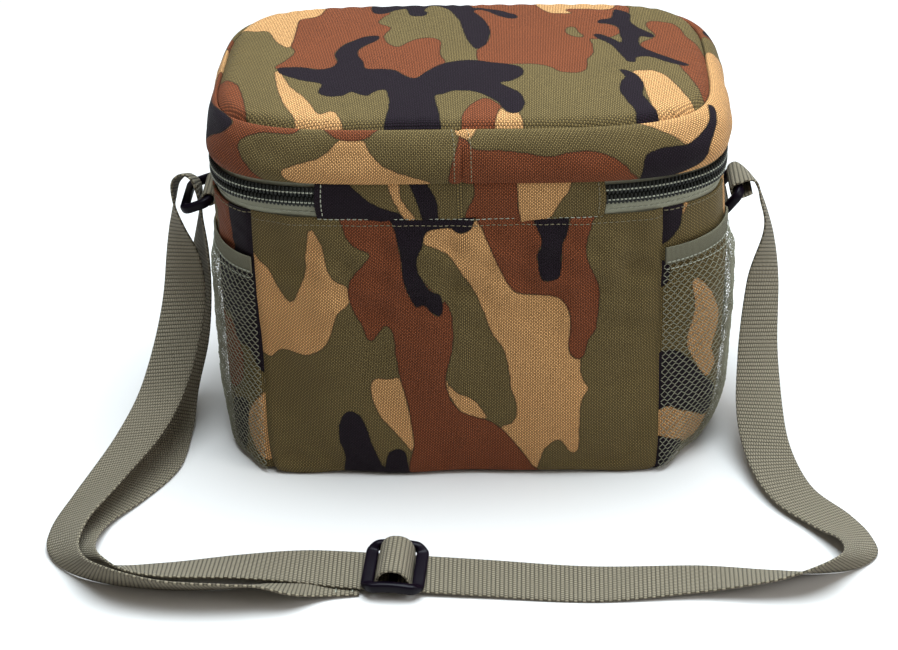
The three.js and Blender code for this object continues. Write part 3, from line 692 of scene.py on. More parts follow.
RIGHT_PRINT = [
    ("T", [(109, 156), (114, 156), (112, 150), (110, 147)]),
    ("T", [(115.5, 108), (122, 104), (133, 86), (135, 76), (129, 62), (134, 50), (125.5, 46), (117, 62),
           (114, 74), (117, 90)]),
    ("T", [(99, 40), (105, 40), (112, 35), (131, 22), (125, 8), (110, 12), (99, 16)]),
    ("K", [(99, 156), (110, 156), (110, 148), (109, 142), (106, 136), (101, 132), (99, 132)]),
    ("K", [(99, 122), (104, 120), (104, 110), (99, 108)]),
    ("K", [(99, 67), (111.5, 66), (125.5, 46), (138, 32), (131, 20), (116, 30), (112, 33), (105, 38),
           (99, 38)]),
    ("K", [(99, 20), (108, 18), (116, 10), (114, -2), (99, -2)]),
]
LEFT_PRINT = [
    ("B", [(-116, 162), (-138, 162), (-137, 130), (-128, 118), (-117, 112)]),
    ("T", [(-104, 45), (-112, 40), (-118, 28), (-116, 14), (-104, 8)]),
    ("B", [(-121, 70), (-130, 78), (-150, 74), (-165, 62), (-160, 40), (-140, 36), (-126, 42), (-119, 54)]),
    ("K", [(-118, 36), (-130, 33), (-150, 29), (-165, 20), (-160, 2), (-130, -2), (-121, 10)]),
    ("K", [(-104, 162), (-119.5, 162), (-119, 130), (-124, 120), (-150, 121), (-170, 112), (-166, 92),
           (-150, 77), (-135, 82), (-125, 72), (-114, 70), (-104, 62)]),
]
LID_PRINT = [
    ("B", [(-76, 90), (-76, 60), (-80, 52), (-88, 47), (-88, 30), (-89, 12), (-86, 2), (-90, -8),
           (-93, -18), (-60, -24), (-40, -27), (-22, -34), (-14, -25), (-8, -15), (-11, -5), (-11, 10),
           (-13, 15), (-18, 17), (-25, 14), (-30, 8), (-33, 5), (-38, 9), (-41, 20), (-38, 32), (-45, 40),
           (-43, 50), (-40, 56), (-41, 62), (-46, 68), (-50, 90)]),
    ("B", [(-4, 90), (36, 90), (84, 72), (86, 40), (80, 20), (70, 14), (66, 14), (67, 5), (67, -4),
           (64, -12), (63, -24), (58, -28.5), (50, -27), (44, -20), (35, -17), (20, -17), (9, -14), (8, 0),
           (10, 12), (6, 35), (-2, 55)]),
    ("G", [(54, 29), (58, 30), (60, 24), (63, 17), (58, 17), (54, 22)]),
    ("B", [(98, 40), (110, 38), (114, 30), (117, 20), (124, 10), (128, -20), (122, -48), (117, -38),
           (113, -25), (108, -12), (100, -6), (92, -6), (92, 10), (100, 20), (96, 32)]),
    ("B", [(-126, -20), (-114, -29), (-110, -38), (-107, -50), (-104, -66), (-108, -74), (-126, -64)]),
    ("B", [(2, -90), (2, -70), (4, -62), (9, -56), (13, -54), (18, -58), (21, -64), (19, -76), (18, -90)]),
    ("T", [(-116, 60), (-104, 90), (-76, 90), (-76, 60), (-79, 52), (-82, 50), (-86, 49), (-88, 45),
           (-88, 30), (-89, 10), (-93, 12), (-98, 20), (-101, 29), (-104, 34), (-112, 36), (-120, 44)]),
    ("T", [(-92, -20), (-88, -30), (-84, -40), (-76, -52), (-72, -60), (-68, -67), (-62, -65), (-58, -70),
           (-52, -90), (-74, -90), (-80, -70), (-85, -60), (-89, -48), (-92, -35), (-94, -22)]),
    ("T", [(38, 70), (42, 59), (47, 53), (57, 52), (54, 58), (60, 61), (72, 58), (80, 62), (78, 90),
           (36, 90)]),
    ("T", [(86, -26), (92, -24), (97, -24), (103, -30), (108, -42), (113, -54), (118, -60), (122, -72),
           (104, -90), (98, -78), (95, -68), (92, -50), (90, -40)]),
    ("T", [(17, -90), (19, -68), (22, -62), (26, -62), (30, -70), (34, -90)]),
    ("K", [(-93, -17), (-88, -16), (-80, -17), (-72, -20), (-66, -18), (-63, -12), (-65, -3), (-64, 3),
           (-61, 10), (-56, 15), (-50, 20), (-44, 20), (-44, 15), (-49, 9), (-53, 3), (-53, -4),
           (-50, -12), (-48, -20), (-40, -21), (-33, -23), (-27, -30), (-22, -32), (-17, -25), (-10, -17),
           (0, -13), (8, -13), (16, -15), (26, -18), (31, -23), (31, -30), (26, -36), (20, -38), (24, -43),
           (30, -50), (32, -60), (29, -68), (23, -66), (19, -58), (13, -51), (6, -46), (-2, -45),
           (-8, -49), (-12, -51), (-11, -60), (-9, -72), (-9, -92), (-36, -92), (-34, -62), (-35, -50),
           (-37, -44), (-42, -46), (-45, -50), (-49, -49), (-54, -46), (-58, -50), (-66, -50), (-70, -46),
           (-69, -40), (-70, -36), (-78, -33), (-86, -28), (-91, -23)]),
    ("K", [(-50, 63), (-48, 57), (-42, 57), (-37, 62), (-32, 65), (-30, 57), (-28, 52), (-22, 52),
           (-20, 57), (-22, 63), (-18, 70), (-10, 64), (-6, 55), (-2, 42), (0, 28), (3, 12), (7, 2),
           (10, 4), (13, 12), (14, 28), (10, 45), (5, 58), (6, 62), (12, 58), (18, 50), (24, 46), (28, 46),
           (27, 52), (20, 58), (12, 62), (4, 67), (-4, 76), (-45, 76), (-50, 70)]),
    ("K", [(80, 57), (84, 56), (88, 50), (88, 38), (92, 30), (99, 22), (98, 18), (92, 19), (91, 10),
           (93, 4), (99, -2), (107, -8), (115, -14), (112, -16), (104, -12), (96, -7), (89, -8), (88, -14),
           (84, -13), (80, -2), (76, 8), (70, 15), (68, 20), (72, 20), (78, 14), (82, 10), (82, 18),
           (81, 30), (76, 35), (71, 36), (72, 41), (78, 44)]),
    ("K", [(80, -24), (85, -26), (89, -32), (91, -42), (90, -52), (94, -62), (98, -72), (100, -90),
           (88, -90), (86, -68), (82, -58), (79, -48), (80, -38), (82, -32)]),
]
INKS = {"T": "tan", "B": "brown", "K": "black"}
REACH = 6.0  # blotch distances are only followed this far


def distance_inside(points, polygon):
    """Distance of each point inside (positive) or outside (negative) a smoothed closed polygon, capped."""
    corners = np.tensordot(finer(len(polygon), 3, True), np.asarray(polygon, float), (1, 0))
    low, high = corners.min(0) - REACH, corners.max(0) + REACH
    near = np.all((points > low) & (points < high), axis=1)
    out = np.full(len(points), -REACH)
    p = points[near]
    if not len(p):
        return out
    best = np.full(len(p), 1e9)
    inside = np.zeros(len(p), bool)
    for a, b in zip(corners, np.roll(corners, -1, 0)):
        d = b - a
        t = np.clip(((p - a) @ d) / max(d @ d, 1e-9), 0, 1)
        best = np.minimum(best, ((p - a - t[:, None] * d) ** 2).sum(1))
        crosses = (a[1] > p[:, 1]) != (b[1] > p[:, 1])
        with np.errstate(divide="ignore", invalid="ignore"):
            at = a[0] + (p[:, 1] - a[1]) * d[0] / (d[1] if d[1] else 1e-9)
        inside ^= crosses & (p[:, 0] < at)
    best = np.minimum(np.sqrt(best), REACH)
    out[near] = np.where(inside, best, -best)
    return out


def print_fields(cloth, blotches):
    """Per-point distances into each ink of a print, from cloth coordinates."""
    points = np.asarray(cloth, float).reshape(-1, 2)
    fields = {ink: np.full(len(points), -REACH) for ink in INKS.values()}
    for letter, polygon in blotches:
        depth = distance_inside(points, polygon)
        for ink in fields:
            if ink == INKS.get(letter):
                fields[ink] = np.maximum(fields[ink], depth)
            else:
                fields[ink] = np.minimum(fields[ink], -depth)
    return fields


def folded(values, low, high):
    """Brings cloth coordinates into a print's span by turning them back at its ends."""
    span = high - low
    return low + span - np.abs(np.mod(values - low, 2 * span) - span)


def spare_cloth(cloth, shift):
    """Cloth coordinates of a panel that is cut from another part of the lid's print."""
    u, v = cloth[..., 0] + shift[0], cloth[..., 1] + shift[1]
    return np.stack([folded(u, -112, 112), folded(v, -84, 74)], -1)


# ------------------------------------------------------------------ body of the bag
def cloth_on_wall(u, z):
    """Cloth coordinates of a wall: round it and up."""
    return np.stack(np.broadcast_arrays(u, z), -1)


def lower_taper(u, z):
    """How far the wall draws in near the floor: a tight fold under it, and softer ends of the bag."""
    fold = 5.0
    low = np.clip(fold - z, 0, fold)
    under = fold - np.sqrt(np.maximum(fold**2 - low**2, 0))
    ends = np.clip((np.minimum(np.abs(u), ROUND - np.abs(u)) - 86) / 40, 0, 1)
    ends = np.where(np.abs(u) > ROUND / 2 - 86, 0, ends)
    soft = ends * ends * (3 - 2 * ends)
    return under + soft * 6.5 * np.clip(1 - z / 34, 0, 1) ** 2


def body_stations():
    """u of every cloth column, going once round, and the index of each seam."""
    knots = [-U_LEFT, U_SEAM, U_BACK, ROUND - U_BACK, ROUND - U_LEFT]
    columns, seams = [], []
    for a, b in zip(knots, knots[1:]):
        steps = int(round((b - a) / CLOTH_STEP))
        seams.append(len(columns))
        columns += list(a + (b - a) * np.arange(steps) / steps)
    return np.array(columns), seams


COLUMNS, SEAMS = body_stations()
LEVELS = np.array([0.5, 1.3, 2.8, 5.2, 8.5, *np.arange(12.5, 148, 4.0), 150.0, BODY_TOP])


def body_surface():
    """The whole outer wall as one closed ring of cloth, puckered by simulation."""
    u, z = COLUMNS[:, None], LEVELS[None, :]
    grid = end_wall(u, lower_taper(u, z), z)
    index, quads = grid_faces(len(COLUMNS), len(LEVELS), True)
    pinned = set(index[:-1, :3].ravel()) | set(index[:-1, -1].ravel())
    for seam in SEAMS:
        pinned |= set(index[seam])
    move = relaxed(grid.reshape(-1, 3), quads, pinned, 2.2, 2.2).reshape(grid.shape)
    quiet = np.exp(-(((z - 60) / 75) ** 4))
    from_end = np.abs(np.abs(side_u(u)) - ROUND / 4)
    free = soft_step((from_end - (ROUND / 4 - U_SEAM)) / 14)  # 1 where no pocket lies over the wall
    swell = ripple(u, z * 0.8, 70, 3) * (0.75 + 0.3 * free) * quiet
    below_zip = np.exp(-(((z - 122) / 30) ** 2))
    draw = ripple(u * 1.3 + z * 0.5, z * 0.9, 30, 5) * (0.6 + 1.1 * free) * below_zip
    corner = np.exp(-(((np.abs(u) - 92) / 14) ** 2)) * np.exp(-(((z - 105) / 40) ** 2))
    slack = np.sin((u * 0.8 + z) / 5.2) * 0.5 * corner
    out = normals_of(grid, True)
    puffed = (move * out).sum(-1)
    lift = np.clip(puffed + swell + draw + slack, -2.2, 0.5 + 2.8 * free)
    return grid + move + out * (lift - puffed)[..., None]


WALL = body_surface()


def wall_part(first, last):
    """Columns of the wall from one seam to the next, with their u."""
    count = len(COLUMNS)
    pick = np.arange(first, last + 1)
    return WALL[pick % count], COLUMNS[pick % count] + np.where(pick >= count, ROUND, 0.0)


def seam_dip(distance, depth=1.1, width=1.8):
    """How far cloth is drawn in at a distance from its seam."""
    return depth * np.exp(-((distance / width) ** 2))


def corner_fields(near, blotches, away, limit):
    """Blotches laid out near the front, and the repeat of another print from a limit onwards."""
    share = np.clip((np.abs(side_u(near[..., 0].ravel())) - limit) / 8, 0, 1)
    own, other = print_fields(near, blotches), print_fields(away, LID_PRINT)
    return {k: own[k] * (1 - share) + other[k] * share for k in own}


def body_panel(name, first, last, blotches, shift=None):
    """The cloth between two seams. Beyond its own blotches it has the lid's print, moved by shift."""
    part, u = wall_part(first, last)
    part = refine(part, 3)
    u = np.tensordot(finer(len(u), 3), u, (1, 0))
    z = np.tensordot(finer(len(LEVELS), 3), LEVELS, (1, 0))
    edge = np.minimum(u - u[0], u[-1] - u)[:, None]
    dip = seam_dip(edge) + seam_dip(z[None, :] - 0.5, 0.6, 1.2)
    part = part - normals_of(part) * dip[..., None]
    near = cloth_on_wall(side_u(u)[:, None], z[None, :])
    cloth = cloth_on_wall(u[:, None], z[None, :])
    if shift:
        fields = corner_fields(near, blotches, spare_cloth(cloth, shift), 140)
    else:
        fields = print_fields(near, blotches)
    fit(sheet(f"{name}_cloth", part, 1.1, CAMO, cloth, fields=fields), "base", name)
    return part, u, z


ENDS = [*SEAMS, len(COLUMNS)]
FRONT, FRONT_U, PANEL_Z = body_panel("front_panel", ENDS[0], ENDS[1], FRONT_PRINT)
RIGHT = body_panel("side_panel_right", ENDS[1], ENDS[2], RIGHT_PRINT, (-250, -95))[0]
body_panel("back_panel", ENDS[2], ENDS[3], RIGHT_PRINT, (-ROUND / 2, -70))
LEFT = body_panel("side_panel_left", ENDS[3], ENDS[4], LEFT_PRINT, (30, -60))[0]


def plate_points(size, inset, across, along):
    """A grid over the area inside an outline, following it at the edge, and how far out each point lies."""
    s, t = np.linspace(-1, 1, across)[:, None], np.linspace(-1, 1, along)[None, :]
    s, t = np.broadcast_arrays(s, t)
    far = np.maximum(np.maximum(np.abs(s), np.abs(t)), 1e-9)
    total = (np.abs(s) / far) ** POWER + (np.abs(t) / far) ** POWER
    to_edge = 1 / np.maximum(total, 1e-9) ** (1 / POWER)
    share = 1 + (to_edge - 1) * far**2
    return np.stack([(size[0] - inset) * s * share, (size[1] - inset) * t * share], -1), far


def bottom():
    flat, far = plate_points(BODY, 4.6, 131, 85)
    ends = np.clip((np.abs(flat[..., 0]) - 70) / 55, 0, 1)
    squeeze = 1 - 0.05 * ends**2 * far
    rise = 0.25 + 0.35 * (1 - far**6) + 0.15 * ripple(flat[..., 0], flat[..., 1], 60, 12) * (1 - far**4)
    grid = np.stack([flat[..., 0] * squeeze, flat[..., 1], np.maximum(rise, 0.05)], -1)[::-1]
    cloth = spare_cloth(grid[..., :2], (20, 15))
    panel = sheet("bottom_panel_cloth", grid, 1.0, CAMO, cloth, fields=print_fields(cloth, LID_PRINT))
    fit(panel, "base", "bottom_panel")


bottom()


# ------------------------------------------------------------------ stitches
def stitched(name, points, ups, body, pitch=3.1, length=2.3, radius=0.26, material=STITCH):
    """A row of stitches along a polyline on a surface."""
    place, along = spaced(points, pitch)
    ups = np.asarray(ups, float)
    if ups.ndim == 1:
        up = np.broadcast_to(ups, place.shape)
    else:
        run = run_along(points)
        up = at_runs(ups, run, np.arange(pitch * 0.5, run[-1], pitch))
    up = unit(up)
    fit(bars(name, place + up * 0.12, along, up, length, radius, material), body)


def row_on(panel, z, start=0, stop=None):
    """Points and normals of a wall panel at a height."""
    j = np.argmin(np.abs(PANEL_Z - z))
    return panel[start:stop, j], normals_of(panel)[start:stop, j]


UNDER_STRIP = np.flatnonzero(np.abs(FRONT_U) < U_HINGE + 2)
UPPER_ROW = row_on(FRONT, 151.6, UNDER_STRIP[0], UNDER_STRIP[-1])
stitched("front_topstitch_upper", *UPPER_ROW, "base", 2.9, 2.1, 0.26, PALE_STITCH)
stitched("front_topstitch_lower", *row_on(FRONT, 148.6), "base", 2.9, 2.0, 0.22)


# ------------------------------------------------------------------ hinge strip and zip
def zip_run(step):
    """u along the zip, from one end of the hinge strip round the bag to the other."""
    return np.linspace(U_HINGE, ROUND - U_HINGE, int((ROUND - 2 * U_HINGE) / step) + 1)


def hinge_strip():
    u = np.linspace(-U_HINGE, U_HINGE, 141)[:, None]
    z = np.linspace(149.5, 172.6, 24)[None, :]
    middle = np.sin(np.clip((z - 152.5) / 19.3, 0, 1) * np.pi)
    over_coil = np.exp(-(((np.abs(u) - U_HINGE) / 5.0) ** 2))
    out = -0.35 + 0.55 * middle + 0.95 * over_coil * middle + 0.12 * ripple(u, z * 2, 24, 21)
    out = out - 1.1 * np.clip((153.2 - z) / 3, 0, 1) - 0.9 * np.clip((z - 171) / 2, 0, 1)
    grid = zip_wall(u, -out, z)
    cloth = cloth_on_wall(u, z)
    strip = sheet("hinge_strip_cloth", grid, 0.9, CAMO, cloth, fields=print_fields(cloth, STRIP_PRINT))
    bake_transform(fit(strip, node="hinge_strip"))
    n = normals_of(grid)
    for side, i, thread in (("left", 3, PALE_STITCH), ("right", 137, STITCH)):
        place, along = spaced(grid[i, 4:22], 2.6)
        up = np.broadcast_to(n[i, 12], place.shape)
        row = bars(f"strip_stitches_{side}", place + up * 0.15, along, up, 1.9, 0.26, thread)
        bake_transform(fit(row))


hinge_strip()


def zip_bars(name, body, z, inset, start, upright, slot, *shape):
    """Teeth or loops of thread, one for each tooth of the zip. Start shifts them by a share of the pitch."""
    place, along = spaced(zip_wall(zip_run(1.0), inset, z), 2.0, start)
    out = np.stack([along[:, 1], -along[:, 0], np.zeros(len(along))], -1)
    direction = np.broadcast_to((0, 0, 1.0), place.shape) if upright else along
    fit(bars(name, place, direction, out, *shape), body)


def zip_half(side, body, tape_z, coil_z, thread_z, start):
    """One half of the zip: its tape, the core of its coil, the teeth and the thread that holds them."""
    u = zip_run(2.0)[:, None]
    z = np.linspace(*tape_z, 9)[None, :]
    tape_out = -1.7 + 0.12 * ripple(u, z * 3, 30, 31) - 1.1 * np.clip((153 - z) / 2, 0, 1)
    tape = sheet(f"zip_tape_{side}", zip_wall(u, -tape_out, z), 0.8, TAPE_CLOTH, cloth_on_wall(u, z))
    fit(tape, body, f"zipper_tape_{side}")

    z = np.linspace(*coil_z, 9)[None, :]
    height = coil_z[1] - coil_z[0]
    dome = -1.15 + 1.0 * np.sin(np.pi * np.clip((z - coil_z[0]) / height, 0.02, 0.98)) ** 0.6
    core = sheet(f"zip_core_{side}", zip_wall(u, -dome, z), 0.9, COIL, cloth_on_wall(u, z))
    fit(core, body, f"zipper_coil_{side}")
    zip_bars(f"zip_teeth_{side}", body, sum(coil_z) / 2, -0.15, start, True, "zip_coil",
             height + 0.5, 0.66, COIL, 0.9, 0.3, 8)
    zip_bars(f"zip_thread_{side}_0", body, thread_z, -0.62, 1.5 - start, False, "zip_tape",
             1.45, 0.42, PALE_STITCH, 0.8, 0.3)


zip_half("lower", "base", (149.5, 162.0), (158.9, 163.8), 161.3, 0.5)
zip_half("upper", "lid", (166.0, 174.5), (164.2, 169.1), 166.7, 1.0)
ZIP_EDGE = zip_wall(zip_run(1.5), 1.6, 155.2)
stitched("zip_edge_stitches_0", ZIP_EDGE, sideways(ZIP_EDGE), "base", 2.9, 2.1, 0.2, PALE_STITCH)
stitched("side_topstitch_right", *row_on(RIGHT, 150.6), "base")
stitched("side_topstitch_left", *row_on(LEFT, 150.6), "base")


# ------------------------------------------------------------------ lid
SEAM_INSET = 9.4


def lid_gusset():
    """The band round the lid, sewn to the top, with its own seam near the middle of the front."""
    count = 192
    u = (-1.0 + ROUND * np.arange(count + 1) / count)[:, None]
    profile = np.array([(2.8, 171.0), (1.4, 171.7), (0.3, 174.0), (-0.5, 177.3), (-0.2, 181.6), (0.9, 186.2),
                        (2.5, 190.6), (4.5, 194.2), (6.5, 196.6), (8.2, 197.5), (9.2, 196.8), (9.5, 195.0)])
    inset, z = profile[:, 0][None, :], profile[:, 1][None, :]
    grid = lid_wall(u, inset, z + 0 * u)
    free = np.exp(-(((z - 184) / 10) ** 4))
    corner = np.exp(-(((np.abs(side_u(u)) - 118) / 26) ** 2))
    out = 0.45 * ripple(u, z * 1.5, 60, 41) + 0.35 * ripple(u * 1.3, z, 20, 42)
    out = out + 0.9 * corner * ripple(u, z, 34, 43)
    grid = grid + normals_of(grid) * (out * free)[..., None]
    grid = refine(grid, 2)
    u = np.tensordot(finer(count + 1, 2), u[:, 0], (1, 0))
    run = run_along(grid[0]) + profile[0, 1]
    ends = np.minimum(u - u[0], u[-1] - u)[:, None]
    grid = grid - normals_of(grid) * (seam_dip(ends, 0.8, 1.3))[..., None]
    cloth = cloth_on_wall(side_u(u)[:, None] + 3.0, run[None, :])
    fields = corner_fields(cloth, GUSSET_PRINT, spare_cloth(cloth, (40, -180)), 205)
    fit(sheet("lid_gusset_cloth", grid, 1.1, CAMO, cloth, fields=fields), "lid", "lid_gusset")
    n = normals_of(grid)
    for k, i in enumerate((2, -3)):
        stitched(f"gusset_seam_stitches_{k}", grid[i, 3:19], n[i, 3:19], "lid", 2.4, 1.8, 0.24)


lid_gusset()


def lid_top():
    across, along = 65, 43
    flat, far = plate_points(LID, SEAM_INSET + 0.4, across, along)
    crown = LID_SEAM + 1.4 + 3.0 * (1 - far**2)
    grid = np.concatenate([flat, crown[..., None]], -1)
    index, quads = grid_faces(across, along)
    pinned = set(index[0]) | set(index[-1]) | set(index[:, 0]) | set(index[:, -1])
    grid = grid + relaxed(grid.reshape(-1, 3), quads, pinned, 3.0, 2.0).reshape(grid.shape)
    grid[..., 2] += 0.35 * ripple(flat[..., 0], flat[..., 1] * 1.5, 90, 51) * (1 - far**4)
    grid = refine(grid, 3)
    grid[..., 0] += 1 + grid[..., 0] / 120
    far = plate_points(LID, SEAM_INSET, *grid.shape[:2])[1]
    edge = (1 - far) * np.minimum(LID[0], LID[1])
    grid[..., 2] -= 4.6 * np.exp(-(((edge + 0.4) / 2.3) ** 1.5))
    cloth = grid[..., :2].copy()
    panel = sheet("lid_top_cloth", grid, 1.1, CAMO, cloth, fields=print_fields(cloth, LID_PRINT))
    fit(panel, "lid", "lid_top_panel")


lid_top()


# ------------------------------------------------------------------ lining
def lining_wall(name, profile, thickness, material, body, node=None, bump=0.0, seed=1):
    """An upright piece of lining all round the bag or the lid, from a profile of (inset, z) points."""
    columns = 192
    u = (ROUND * np.arange(columns) / columns)[:, None]
    profile = np.array(profile, float)
    at, fine = np.linspace(0, 1, len(profile)), np.linspace(0, 1, 60)
    inset, z = (np.interp(fine, at, profile[:, k])[None, :] for k in range(2))
    if body == "base":
        grid = end_wall(u, inset + lower_taper(u, z), z)
    else:
        grid = lid_wall(u, inset, z)
    if bump:
        calm = 1 - np.exp(-((side_u(u) / 14) ** 2))
        wave = (ripple(u, z, 30, seed) + ripple(u * 2, z, 14, seed + 1) * 0.5) * bump * calm
        grid = grid + normals_of(grid, True) * wave[..., None]
    piece = sheet(name, grid[:, ::-1], thickness, material, cloth_on_wall(u, z[:, ::-1]), closed=True)
    fit(piece, body, node)


def lining_plate(name, size, inset, z, thickness, material, body, node=None, seed=0, faces_down=False):
    """A level piece of lining: foam from z up, or foil with creases at z."""
    flat, far = plate_points(size, inset, 91, 61)
    if material is FOIL:
        height = z + 0.35 * ripple(flat[..., 0], flat[..., 1], 32, seed) * (1 - far**6)
    else:
        height = z + thickness + 0 * far
    grid = np.concatenate([flat, height[..., None]], -1)
    if faces_down:
        grid = grid[::-1]
    fit(sheet(name, grid, thickness, material, grid[..., :2]), body, node)


LINER_PROFILE = [(7.4, 7.4), (7.3, 40), (7.2, 90), (7.0, 135), (6.6, 151.6), (4.5, 152.6), (1.8, 152.3)]
LID_LINER_PROFILE = [(3.6, 172.4), (6.5, 172.0), (8.9, 173.6), (9.0, 182), (10.5, 187), (13.5, 190.6)]
lining_wall("foam_wall", [(3.5, 8), (3.5, 151)], -2.8, FOAM, "base", "insulation_wall")
lining_wall("liner_wall", LINER_PROFILE, -0.6, FOIL, "base", "inner_liner", 0.5, 61)
lining_wall("lid_liner_wall", LID_LINER_PROFILE, -0.6, FOIL, "lid", bump=0.35, seed=63)
lining_plate("foam_floor", BODY, 9.5, 1.9, 4.4, FOAM, "base", "insulation_base")
lining_plate("liner_floor", BODY, 10.5, 7.7, 0.6, FOIL, "base", seed=72)
lining_plate("foam_lid", LID, 12.6, 192.0, 3.2, FOAM, "lid", "lid_insulation")
lining_plate("lid_liner_top", LID, 13.2, 190.9, 0.6, FOIL, "lid", "lid_liner", 74, True)


# ------------------------------------------------------------------ mesh pockets
def pocket_span(side):
    """u of a pocket's two seams. Side is 1 for the right end of the bag and -1 for the left."""
    return (U_SEAM, U_BACK) if side > 0 else (ROUND - U_BACK, ROUND - U_LEFT)


def pocket_point(u, z, side):
    """A point of the net: it bulges in lobes either side of the ring and is gathered at its rim and edges."""
    first, last = pocket_span(side)
    s = (u - first) / (last - first)
    edge = np.clip(np.sin(np.pi * np.clip(s, 0, 1)), 0, 1) ** 0.55
    lobes = 0.6 + 0.4 * np.sin(2 * np.pi * s) ** 2
    held = around_ring(u, z)
    rise = np.clip(z / 40, 0, 1) ** 0.8
    fall = 1 - np.clip((z - rim_lift(u, side) - 104) / 13, 0, 1) ** 2
    amount = (4.6 if side > 0 else 4.2) * edge * lobes * rise * fall * (1 - 0.92 * held)
    folds = 0.75 * ripple(u * 0.9, z * 0.45, 26, 81 + side) + 0.3 * ripple(u, z, 12, 84 + side)
    folds = folds * edge * rise * fall * (1 - 0.9 * held)
    return end_wall(u, lower_taper(u, z) * 0.9 - 1.15 - amount - folds, z)


def rim_lift(u, side):
    """How much higher than its lowest level the rim of a pocket runs."""
    from_ring = np.abs(np.abs(side_u(u)) - ROUND / 4)
    beside = (4.5 if side > 0 else 0.5) * soft_step((from_ring - 20) / 18)
    return beside + 2.5 * np.exp(-(((from_ring - 50) / 20) ** 2))


def pocket_net(name, side):
    """The net's threads: rows of zigzags that touch at their turns."""
    first, last = pocket_span(side)
    width, height, low, high = 3.2, 4.2, 2.0, RIM_LOW + 3  # of a hole in the net, and of the whole net
    sides, radius = 5, 0.24
    across = int((last - first - 1.6) / (width / 2))
    rows = int((high - low) / (height / 2))
    i = np.arange(across + 1)
    turn = turns(sides)[None, :, None]
    verts, faces = [], []
    pick = np.random.default_rng(90 + side)
    for j in range(rows):
        step = (i + j) % 2
        u = first - 0.3 + i * (last - first + 0.6) / across + pick.normal(0, 0.09, len(i))
        z = low + (j + 0.1 + 0.8 * step) * height / 2 + pick.normal(0, 0.1, len(i))
        z = z * (1 + rim_lift(u, side) / RIM_LOW)
        centre = pocket_point(u, z, side)
        out = unit(np.cross(pocket_point(u + 0.5, z, side) - centre, pocket_point(u, z + 0.5, side) - centre))
        centre = centre + out * np.where(step == 1, 0.14, -0.14)[:, None]
        cross = unit(np.cross(unit(np.gradient(centre, axis=0)), out))
        ring = centre[:, None] + radius * (cross[:, None] * np.cos(turn) + out[:, None] * np.sin(turn))
        verts.append(ring.reshape(-1, 3))
        index = j * len(i) * sides + np.arange(len(i) * sides).reshape(len(i), sides)
        index = np.concatenate([index, index[:, :1]], 1)
        faces += [tuple(q) for q in tube_quads(index)]
        faces += [tuple(index[0, -2::-1]), tuple(index[-1, :-1])]
    net = new_mesh(f"pocket_net_{name}", np.concatenate(verts), faces, NET)
    outward_faces(net)
    fit(net, "base", f"mesh_pocket_{name}")


def pocket_rim(name, side):
    """The elastic band along the top of a pocket, and its two rows of stitches."""
    first, last = pocket_span(side)
    u = np.linspace(first + 0.5, last - 0.5, 110)
    half, thick = (RIM_TOP - RIM_LOW) / 2, 0.72
    low = RIM_LOW + 0.5 * ripple(u, 0 * u, 60, 95 + side) + rim_lift(u, side)
    s = (u - first) / (last - first)
    away = 1 - np.exp(-(((s - 0.5) / 0.2) ** 2))  # from the strap ring
    wave = np.maximum(0.45 * np.sin(np.pi * s) ** 2 * ripple(u, 0 * u, 18, 96 + side) * away, -0.1)
    centre = end_wall(u, -1.15 - wave, low + half)
    out = unit(sideways(centre))
    section = boxy_section(28, half, thick, 0.35, 0.6)
    upright = np.broadcast_to((0, 0, 1.0), centre.shape)
    rim = sweep(f"pocket_rim_{name}", centre, upright, out, section, ELASTIC)
    fit(rim, "base", f"pocket_binding_{name}")
    on_rim = end_wall(u, -2.05 - wave, low + 1.6)
    below = pocket_point(u, low - 2.6, side) + out * 0.35
    for k, line in enumerate((on_rim, below)):
        stitched(f"pocket_stitches_{name}_{k}", line, out, "base", 2.5, 1.9, 0.3, PALE_STITCH)


for name, side in (("right", 1), ("left", -1)):
    pocket_net(name, side)
    pocket_rim(name, side)


# ------------------------------------------------------------------ rings and tabs
# (x, z) of each ring's inner bar, in its tab, and of its outer bar, in the strap
RINGS = {"left": ((-134.9, 127.5), (-148.0, 122.8)), "right": ((134.9, 118.5), (143.4, 129.5))}
# (x, z) down each tab from the zip to its ring
TAILS = {
    "right": [(134.4, 152.4), (132.5, 145), (130.8, 139), (130.7, 131), (131.4, 126.0), (132.4, 123.2)],
    "left": [(-129.6, 152.4), (-129.7, 146), (-129.85, 139), (-130.0, 133), (-130.1, 128.8)],
}


def rounded_loop(half_x, half_y, radius):
    """Centreline of a rounded rectangle, evenly walked, counter-clockwise."""
    step = 0.9
    corners = []
    for cx, cy, a in ((1, 1, 0), (-1, 1, 90), (-1, -1, 180), (1, -1, 270)):
        for t in np.radians(a + np.linspace(0, 90, 9)):
            x, y = cx * (half_x - radius), cy * (half_y - radius)
            corners.append((x + radius * np.cos(t), y + radius * np.sin(t)))
    corners = np.array(corners + corners[:1])
    run = run_along(corners)
    return at_runs(corners, run, np.linspace(0, run[-1], int(run[-1] / step), endpoint=False))


